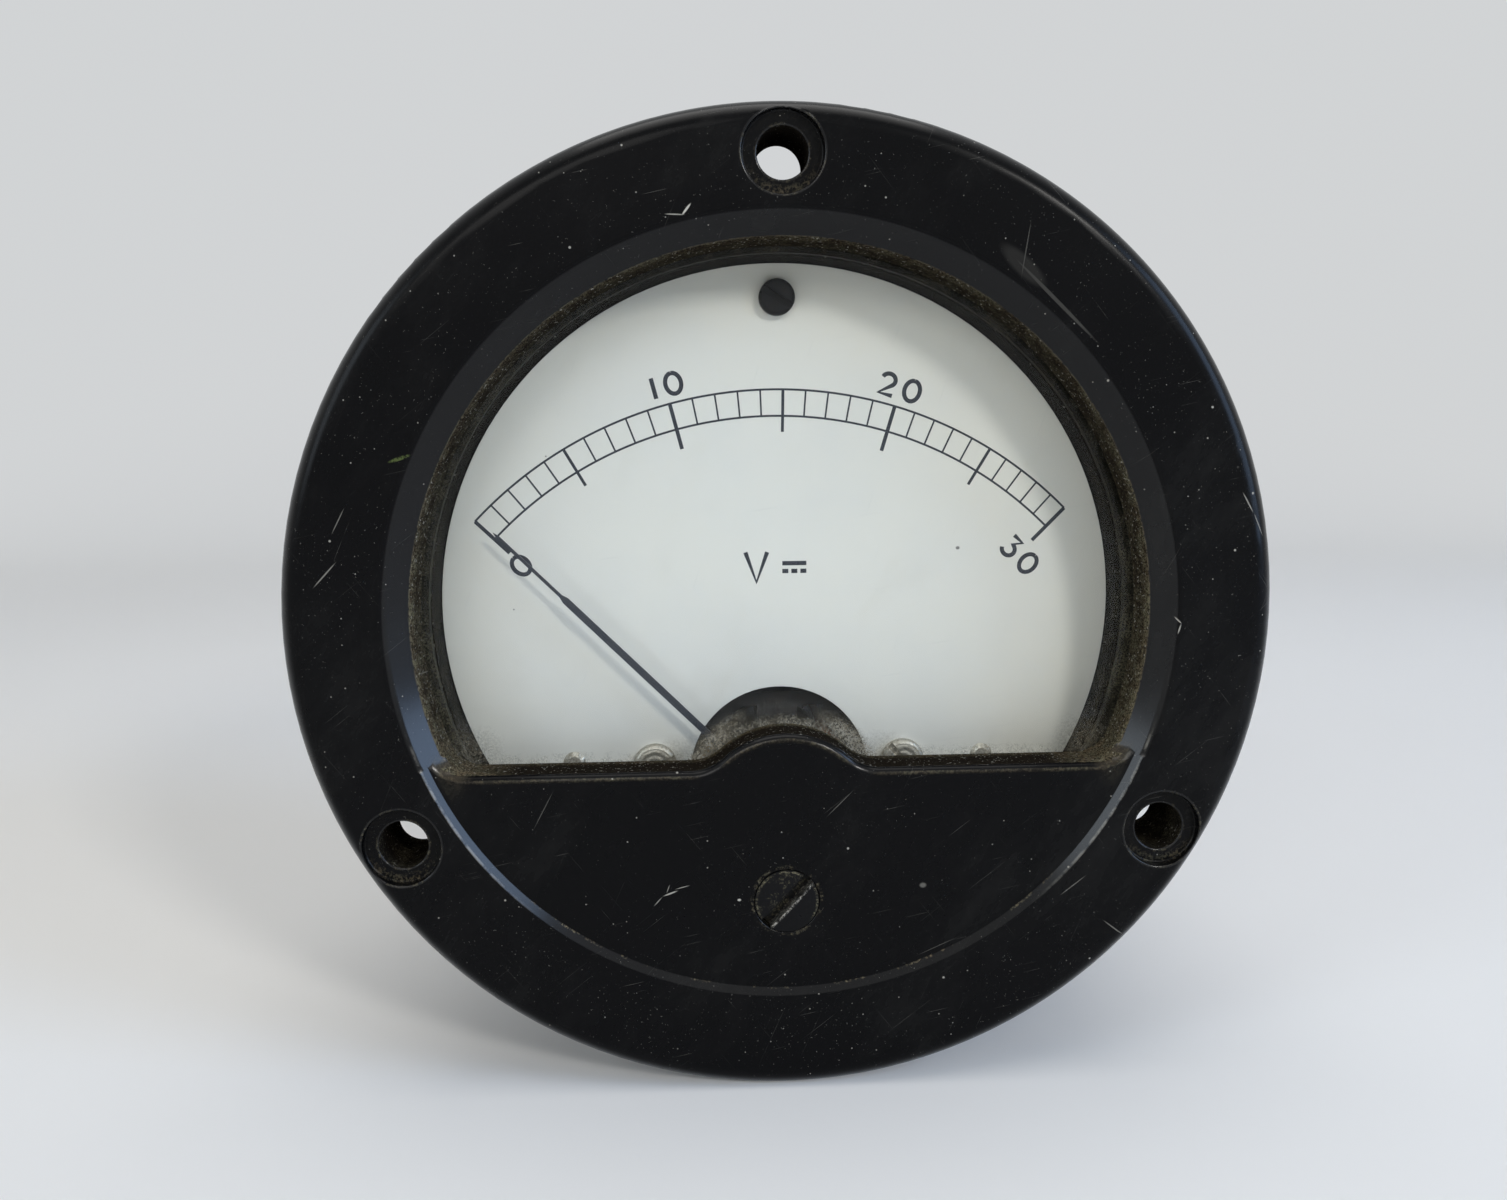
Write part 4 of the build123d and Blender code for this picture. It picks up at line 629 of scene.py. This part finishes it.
def cleaned(node):
    # the CAD piece as a mesh to work on, welded and without the lines across its flat faces
    bm = bmesh.new()
    bm.from_mesh(frame["nodes"][node].data)
    bmesh.ops.remove_doubles(bm, verts=bm.verts, dist=meshing["weld"])
    bmesh.ops.dissolve_limit(bm, angle_limit=radians(meshing["flat"]), verts=bm.verts, edges=bm.edges)
    return bm


def closed(bm):
    bmesh.ops.remove_doubles(bm, verts=bm.verts, dist=meshing["seal"])
    bmesh.ops.recalc_face_normals(bm, faces=bm.faces)
    return bm


def keep(bm, name, paint, body, replaced=(), sharp=meshing["sharp"]):
    mesh = bpy.data.meshes.new(name)
    bm.to_mesh(mesh)
    bm.free()
    mesh.shade_smooth()
    mesh.set_sharp_from_angle(angle=radians(sharp))
    mesh.materials.append(paints[paint])
    piece = bpy.data.objects.new(name, mesh)
    bpy.context.scene.collection.objects.link(piece)
    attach(piece, body)
    if replaced:
        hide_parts(*replaced)
    return piece


def softened(node, name, edge):
    # a cleaned copy of a CAD piece, shaded smooth, with its sharp edges rubbed round
    piece = keep(cleaned(node), name, nodePaint[node], nodeBody[node], (node,))
    if edge:
        bevel = piece.modifiers.new("edge", "BEVEL")
        bevel.limit_method, bevel.angle_limit = "ANGLE", radians(meshing["sharp"])
        bevel.width, bevel.segments, bevel.harden_normals = edge, 2, True
    weigh = piece.modifiers.new("shade", "WEIGHTED_NORMAL")
    weigh.keep_sharp = True


def stroke(points, width):
    # one drawn line: a round tube along the points, to be flattened later
    curve = bpy.data.curves.new("stroke", "CURVE")
    curve.dimensions, curve.bevel_depth, curve.bevel_resolution, curve.use_fill_caps = "3D", width / 2, 2, True
    line = curve.splines.new("POLY")
    line.points.add(len(points) - 1)
    for point, place in zip(line.points, points):
        point.co = (*place, 1)
    drawn = bpy.data.objects.new("stroke", curve)
    mesh = bpy.data.meshes.new_from_object(drawn)
    bpy.data.objects.remove(drawn)
    bpy.data.curves.remove(curve)
    return mesh


bezel = {
    "lip": 0.3 * mm, "holeRim": 0.16 * mm, "rimEdge": 0.5 * mm,   # widths of the rounded edges
    "rimRadius": 35.3 * mm, "ridgeRadius": 33.2 * mm, "ridgeDepth": 1.8 * mm, "ridgeFoot": -13.9 * mm,
    "apronDepth": 0.55 * mm, "lipBreak": 0.45 * mm, "lipFoot": -14.3 * mm, "inside": 33.3 * mm,
    "wallDepth": 1.0 * mm, "wallFoot": -14.2 * mm, "zeroHole": 3.3 * mm, "zeroDepth": 0.1 * mm,
    "seat": 3.8 * mm, "seatDepth": 3.0 * mm, "bore": 3.6 * mm,
    "exact": 0.01 * mm, "close": 0.06 * mm,   # how near a point lies to an edge that is looked for
    "sharp": 25, "level": 0.999, "upright": 0.6, "coneMatch": 0.06,   # how an edge or a face's normal is judged
}
case = {"bore": 34.2 * mm, "floor": 31 * mm, "mountHole": 3.0 * mm}


def turnedShading(piece):
    # flat faces keep their own normal, and the rim's slope shades as a true cone about the axis
    mesh, normals = piece.data, []
    fall, run = bezel["ridgeDepth"], bezel["rimRadius"] - bezel["ridgeRadius"]
    radial, along = -fall / hypot(fall, run), -run / hypot(fall, run)
    for face in mesh.polygons:
        out = Vector((face.center.x, 0, face.center.z))
        off = max(abs(face.normal.dot(out.normalized()) - radial), abs(face.normal.y - along))
        cone = off < bezel["coneMatch"] and bezel["ridgeRadius"] < out.length < bezel["rimRadius"]
        for i in face.vertices:
            co = mesh.vertices[i].co
            if abs(face.normal.y) > bezel["level"]:
                normals.append(face.normal.copy())
            elif cone:
                normals.append(Vector((co.x, 0, co.z)).normalized() * radial + Vector((0, along, 0)))
            else:
                normals.append(Vector())   # as the mesh has it
    mesh.normals_split_custom_set(normals)


def inHole(face, radius):
    # whether a face is a wall inside one of the mounting holes
    inside = any(hypot(face.center.x - x * mm, face.center.z - z * mm) < radius for x, z in mountPlaces)
    return inside and abs(face.normal.y) < bezel["upright"]


def makeBezel():
    bm = cleaned("bezel")
    apronY = faceY + bezel["apronDepth"]

    def rounded(wanted, width, segments):
        edges = [e for e in bm.edges if e.is_manifold and e.calc_face_angle() > radians(bezel["sharp"])
                 and all(wanted(v.co) for v in e.verts)]
        bmesh.ops.bevel(bm, geom=edges, offset=width, offset_type="OFFSET", segments=segments, profile=0.5,
                        material=-1, affect="EDGES", clamp_overlap=False)

    def onLipOrRidge(co):
        radius = hypot(co.x, co.z)
        level = min(abs(co.y - apronY), abs(co.y - apronY - bezel["lipBreak"])) < bezel["exact"]
        lip = level and co.z > bezel["lipFoot"] and radius < bezel["inside"]
        ridge = abs(radius - bezel["ridgeRadius"]) < bezel["close"] and co.z > bezel["ridgeFoot"]
        return lip or ridge and abs(co.y - faceY - bezel["ridgeDepth"]) < bezel["close"]

    def onSlopeTop(co):
        return co.y < faceY + bezel["exact"] and abs(hypot(co.x, co.z) - bezel["rimRadius"]) < bezel["close"]

    def onHoleRim(co):
        return co.y < faceY + bezel["seatDepth"] and any(
            abs(co.x - x * mm) < bezel["seat"] and abs(co.z - z * mm) < bezel["seat"] for x, z in mountPlaces)

    def onZeroHole(co):
        return co.y < apronY + bezel["zeroDepth"] and hypot(co.x, co.z - zeroScrew[1] * mm) < bezel["zeroHole"]

    rounded(onLipOrRidge, bezel["lip"], 4)
    rounded(onSlopeTop, bezel["rimEdge"], 5)
    rounded(onHoleRim, bezel["holeRim"], 3)
    rounded(onZeroHole, bezel["holeRim"], 3)
    piece = keep(bm, "bezelMoulding", "phenolicFront", "case", ("bezel",))
    piece.data.materials.append(paints["windowWall"])
    piece.data.materials.append(paints["caseBore"])
    for face in piece.data.polygons:
        c, upright = face.center, abs(face.normal.y) < bezel["upright"]
        behind = c.y > faceY + bezel["wallDepth"]
        if behind and upright and hypot(c.x, c.z) < bezel["inside"] and c.z > bezel["wallFoot"]:
            face.material_index = 1
        elif behind and inHole(face, bezel["bore"]):
            face.material_index = 2
    turnedShading(piece)


def makeCase():
    piece = keep(cleaned("case_body"), "caseMoulding", "phenolicCase", "case", ("case_body",))
    piece.data.materials.append(paints["caseBore"])
    for face in piece.data.polygons:
        c = face.center
        inBarrel = hypot(c.x, c.z) < case["bore"] and c.y < case["floor"] and face.normal.y < 0.5
        if inBarrel or inHole(face, case["mountHole"]):
            face.material_index = 1
    turnedShading(piece)


makeBezel()
makeCase()
print("case done")

dialPrint = {
    "arcCentre": (-0.19 * mm, -19.06 * mm), "outer": 39.6 * mm, "inner": 37.13 * mm,
    "line": 0.2 * mm, "minorLine": 0.17 * mm, "tenLine": 0.36 * mm, "fiveLine": 0.28 * mm,
    "tenReach": 1.9 * mm, "fiveReach": 1.5 * mm, "thickness": 0.03 * mm,
    "majorAngles": (136.0, 120.3, 104.5, 88.9, 73.3, 58.7, 45.2),   # 0, 5, 10 ... 30 volts
    "numbers": (("0", -24.5, 4.2, 46.0), ("10", -10.4, 21.0, 14.5),   # word, x, z, lean
                ("20", 11.7, 20.6, -16.7), ("30", 23.5, 4.5, -44.8)),
    "digitHeight": 1.95 * mm, "digitLine": 0.41 * mm, "letterGap": 0.5,
    "unit": ("V=", -0.2, 3.7, 0), "unitHeight": 2.9 * mm, "unitLine": 0.42 * mm,
}
digitShapes = {  # strokes in units of the digit's height: arcs are (centre x, centre y, rx, ry, start, end)
    "0": [[(0.38, 0.5, 0.38, 0.5, 90, 450)]],
    "1": [[(0.1, 1.0), (0.1, 0.0)]],
    "2": [[(0.34, 0.7, 0.33, 0.3, 165, -42), (0.0, 0.0), (0.7, 0.0)]],
    "3": [[(0.04, 1.0), (0.62, 1.0), (0.3, 0.62), (0.31, 0.31, 0.34, 0.31, 78, -155)]],
    "V": [[(0.0, 1.0), (0.36, 0.0), (0.72, 1.0)]],
    "=": [[(0.0, 0.62), (0.8, 0.62)], [(0.0, 0.36), (0.2, 0.36)], [(0.3, 0.36), (0.5, 0.36)],
          [(0.6, 0.36), (0.8, 0.36)]],   # the direct-current sign
}
digitWidth = {"0": 0.76, "1": 0.2, "2": 0.7, "3": 0.65, "V": 0.72, "=": 0.8}


def arcPoints(cx, cy, rx, ry, start, end, steps=20):
    turns = [radians(start + (end - start) * i / steps) for i in range(steps + 1)]
    return [(cx + rx * cos(a), cy + ry * sin(a)) for a in turns]


def wordStrokes(word, height):
    # all strokes of a word, centred on its own middle
    strokes, along = [], 0
    for letter in word:
        for shape in digitShapes[letter]:
            points = []
            for part in shape:
                points += arcPoints(*part) if len(part) == 6 else [part]
            strokes.append([(along + x * height, y * height) for x, y in points])
        along += (digitWidth[letter] + dialPrint["letterGap"]) * height
    middle = (along - dialPrint["letterGap"] * height) / 2
    return [[(x - middle, y - height / 2) for x, y in points] for points in strokes]


def makeDialPrint():
    p, bm = dialPrint, bmesh.new()
    cx, cz = p["arcCentre"]

    def draw(points, width):
        mesh = stroke([(x, dialY, z) for x, z in points], width)
        bm.from_mesh(mesh)
        bpy.data.meshes.remove(mesh)

    def write(word, x, z, lean, height, width):
        turn = radians(lean)
        for points in wordStrokes(word, height):
            draw([(x * mm + u * cos(turn) - v * sin(turn), z * mm + u * sin(turn) + v * cos(turn))
                  for u, v in points], width)

    first, last = p["majorAngles"][0], p["majorAngles"][-1]
    for radius in (p["outer"], p["inner"]):
        draw(arcPoints(cx, cz, radius, radius, first, last, 120), p["line"])
    for i in range(31):
        start, end = p["majorAngles"][i // 5], p["majorAngles"][min(i // 5 + 1, 6)]
        angle = radians(start + (end - start) * (i % 5) / 5)
        width, reach = p["minorLine"], 0
        if i % 5 == 0:
            width, reach = (p["fiveLine"], p["fiveReach"]) if i % 10 else (p["tenLine"], p["tenReach"])
        draw([(cx + r * cos(angle), cz + r * sin(angle)) for r in (p["inner"] - reach, p["outer"])], width)
    for number in p["numbers"]:
        write(*number, p["digitHeight"], p["digitLine"])
    write(*p["unit"], p["unitHeight"], p["unitLine"])
    # press the ink flat on the dial
    bmesh.ops.translate(bm, verts=bm.verts, vec=(0, -dialY, 0))
    bmesh.ops.scale(bm, verts=bm.verts, vec=(1, p["thickness"] / p["digitLine"], 1))
    bmesh.ops.translate(bm, verts=bm.verts, vec=(0, dialY, 0))
    keep(closed(bm), "dialPrint", "printInk", "case", sharp=30)


makeDialPrint()
softened("dial_plate", "dialPlate", 0.05 * mm)
print("dial printed")

fittings = (   # node, name and the width of its rounded edges
    ("dial_screws", "dialScrews", 0.08), ("dial_rivets", "dialRivets", 0.06),
    ("dial_top_screw", "dialTopScrew", 0.08), ("zero_screw", "zeroScrew", 0.16),
    ("needle", "needleBlade", 0.0), ("front_bridge", "frontBridge", 0.06),
    ("front_bridge_screws", "frontBridgeScrews", 0.06), ("bezel_screws", "bezelScrews", 0.08),
    ("rear_screws", "rearScrews", 0.1), ("terminal_flat_washers", "flatWashers", 0.08),
    ("terminal_inner_nuts", "innerNuts", 0.1), ("terminal_lock_washers", "lockWashers", 0.06),
    ("terminal_outer_nuts", "outerNuts", 0.1), ("solder_lugs", "solderLugs", 0.06),
)
for node, name, edge in fittings:
    softened(node, name, edge * mm)

stud = {"place": 12.7 * mm, "radius": 3.175 * mm, "head": 4.2 * mm, "pitch": 0.907 * mm, "depth": 0.55 * mm,
        "chamfer": 0.6 * mm, "tip": 0.78, "runIn": 0.3 * mm, "weld": 0.002 * mm, "steps": 40}


def only(kind, parts):
    return [part for part in parts if isinstance(part, kind)]


def makeStud(node, name, x):
    # the hexagonal head stays as it is; the shank gets its thread, cut inwards from the same radius
    low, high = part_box(node)
    start, end, pitch = low.y + stud["head"], high.y, stud["pitch"]
    crest, root = x + stud["radius"], x + stud["radius"] - stud["depth"]
    bm = cleaned(node)
    cut = bmesh.ops.bisect_plane(bm, geom=bm.verts[:] + bm.edges[:] + bm.faces[:], plane_co=(0, start, 0),
                                 plane_no=(0, 1, 0), clear_outer=True)
    bmesh.ops.holes_fill(bm, edges=only(bmesh.types.BMEdge, cut["geom_cut"]))
    turns = int((end - stud["chamfer"] - start) / pitch) - 1
    path = []
    for i in range(turns):
        path.append(bm.verts.new((crest, start + i * pitch, 0)))
        path.append(bm.verts.new((root, start + i * pitch + pitch / 2, 0)))
    path.append(bm.verts.new((crest, start + turns * pitch, 0)))
    thread = path + [bm.edges.new(pair) for pair in zip(path, path[1:])]
    bmesh.ops.spin(bm, geom=thread, cent=(x, 0, 0), axis=(0, 1, 0), dvec=(0, pitch / stud["steps"], 0),
                   angle=2 * pi, steps=stud["steps"], use_merge=False)
    bmesh.ops.remove_doubles(bm, verts=bm.verts, dist=stud["weld"])
    # run both ends of the thread out: one into the head, the other into the chamfered tip
    for atTip in (False, True):
        loose = [e for e in bm.edges
                 if e.is_boundary and (sum(v.co.y for v in e.verts) / 2 > (start + end) / 2) == atTip]
        grown = bmesh.ops.extrude_edge_only(bm, edges=loose)["geom"]
        moved = only(bmesh.types.BMVert, grown)
        for v in moved:
            v.co.y = end if atTip else start - stud["runIn"]
        bmesh.ops.scale(bm, verts=moved, vec=(stud["tip"], 1, stud["tip"]), space=Matrix.Translation((-x, 0, 0)))
        bmesh.ops.holes_fill(bm, edges=only(bmesh.types.BMEdge, grown))
    keep(closed(bm), name, nodePaint[node], nodeBody[node], (node,), sharp=40)


makeStud("terminal_stud_left", "studLeft", -stud["place"])
makeStud("terminal_stud_right", "studRight", stud["place"])
print("fittings done")

studio = {
    "floor": (0.87, 0.865, 0.85), "world": (0.82, 0.83, 0.84), "worldLight": 0.19, "seen": (0.64, 0.655, 0.665),
    "half": 5.0, "back": 0.9, "height": 3.0, "fold": 0.45,   # the floor and the wall behind it, in metres
    "plainFrom": 300, "plainAt": 800,   # the distance, in millimetres, where the lit floor turns plain
}
lamps = {   # place, aimed at, size, power, colour
    "overhead": ((0.0, -0.1, 0.95), (0, 0, 0), (0.8, 0.8), 3.9, (1.0, 0.98, 0.95)),
    "windowRight": ((0.74, -0.38, 0.26), (0, 0, 0.02), (0.34, 0.5), 4.0, (0.46, 0.66, 1.0)),
    "windowLeft": ((-0.68, -0.46, 0.28), (0, 0, 0.02), (0.3, 0.34), 1.5, (0.78, 0.89, 1.0)),
    "front": ((0.5, -0.82, 0.46), (0, 0, 0), (0.16, 0.16), 3.3, (1.0, 0.98, 0.94)),
    "frontFill": ((-0.3, -1.0, 0.5), (0, 0, 0), (0.5, 0.3), 1.9, (1.0, 0.98, 0.95)),
}
view = {"place": (-7.88 * mm, -115.75 * mm, 17.59 * mm), "turn": (81.694, 0.537, -2.769),
        "lens": 29.26, "sensor": 36, "nearest": 5 * mm}


def stagePaint():
    # a matt floor near the meter; further off it is seen as one pale tone, which lights nothing
    r = Recipe("studioFloor", Specular_IOR_Level=0.1)
    tone = r.grain(250, 3)
    pale = tuple(c * 0.97 for c in studio["floor"])
    r.finish(Base_Color=r.mix(tone, studio["floor"], pale), Roughness=0.75 + tone * 0.1)
    away = ((r.x * r.x + r.y * r.y + r.z * r.z) ** 0.5).over(studio["plainFrom"], studio["plainAt"])
    seen, *reflected = [r.node("ShaderNodeLightPath", output=f"Is {ray} Ray")
                        for ray in ("Camera", "Glossy", "Transmission")]
    glow = r.node("ShaderNodeEmission", None, {"Color": (*studio["seen"], 1)})
    return r.layered(away * seen.most(*reflected), r.own(), glow)


def makeStage():
    bm = bmesh.new()
    half, back, floorZ = studio["half"], studio["back"], cadBox[0][2]
    profile = ((-half, floorZ), (back, floorZ), (back, floorZ + studio["height"]))
    corners = [bm.verts.new((-half, y, z)) for y, z in profile]
    edges = [bm.edges.new(pair) for pair in zip(corners, corners[1:])]
    grown = bmesh.ops.extrude_edge_only(bm, edges=edges)["geom"]
    bmesh.ops.translate(bm, vec=(2 * half, 0, 0), verts=only(bmesh.types.BMVert, grown))
    fold = [e for e in bm.edges if all(abs(v.co.y - back) < mm and abs(v.co.z - floorZ) < mm for v in e.verts)]
    bmesh.ops.bevel(bm, geom=fold, offset=studio["fold"], offset_type="OFFSET", segments=16, profile=0.5,
                    material=-1, affect="EDGES")
    bmesh.ops.recalc_face_normals(bm, faces=bm.faces)
    mesh = bpy.data.meshes.new("studioFloor")
    bm.to_mesh(mesh)
    bm.free()
    mesh.shade_smooth()
    mesh.materials.append(stagePaint())
    floor = bpy.data.objects.new("studioFloor", mesh)
    bpy.context.scene.collection.objects.link(floor)


def makeLamp(name, place, target, size, power, colour):
    light = bpy.data.lights.new(name, "AREA")
    light.shape, light.size, light.size_y, light.energy, light.color = "RECTANGLE", *size, power, colour
    held = bpy.data.objects.new(name, light)
    held.location = place
    held.rotation_euler = (Vector(target) - Vector(place)).to_track_quat("-Z", "Y").to_euler()
    bpy.context.scene.collection.objects.link(held)


def makeWorld():
    # a faint even light; what is seen of it, directly or in a reflection, is as pale as the backdrop
    world = bpy.data.worlds.new("room")
    bpy.context.scene.world = world
    world.use_nodes = True
    nodes, link = world.node_tree.nodes, world.node_tree.links.new
    light, seen = nodes["Background"], nodes.new("ShaderNodeBackground")
    light.inputs[0].default_value, light.inputs[1].default_value = (*studio["world"], 1), studio["worldLight"]
    seen.inputs[0].default_value = (*studio["seen"], 1)
    path, mixed = nodes.new("ShaderNodeLightPath"), nodes.new("ShaderNodeMixShader")
    share = path.outputs["Is Camera Ray"]
    for ray in ("Is Glossy Ray", "Is Transmission Ray"):
        either = nodes.new("ShaderNodeMath")
        either.operation = "MAXIMUM"
        link(share, either.inputs[0])
        link(path.outputs[ray], either.inputs[1])
        share = either.outputs[0]
    for socket, source in enumerate((share, light.outputs[0], seen.outputs[0])):
        link(source, mixed.inputs[socket])
    link(mixed.outputs[0], nodes["World Output"].inputs[0])


def makeCamera():
    lens = bpy.data.cameras.new("camera")
    lens.lens, lens.sensor_width, lens.sensor_fit = view["lens"], view["sensor"], "HORIZONTAL"
    lens.clip_start = view["nearest"]
    camera = bpy.data.objects.new("camera", lens)
    camera.location = view["place"]
    camera.rotation_euler = [radians(a) for a in view["turn"]]
    bpy.context.scene.collection.objects.link(camera)
    bpy.context.scene.camera = camera


makeStage()
for name, lamp in lamps.items():
    makeLamp(name, *lamp)
makeWorld()
makeCamera()
bpy.context.scene.view_settings.view_transform = "Standard"
print("stage set")
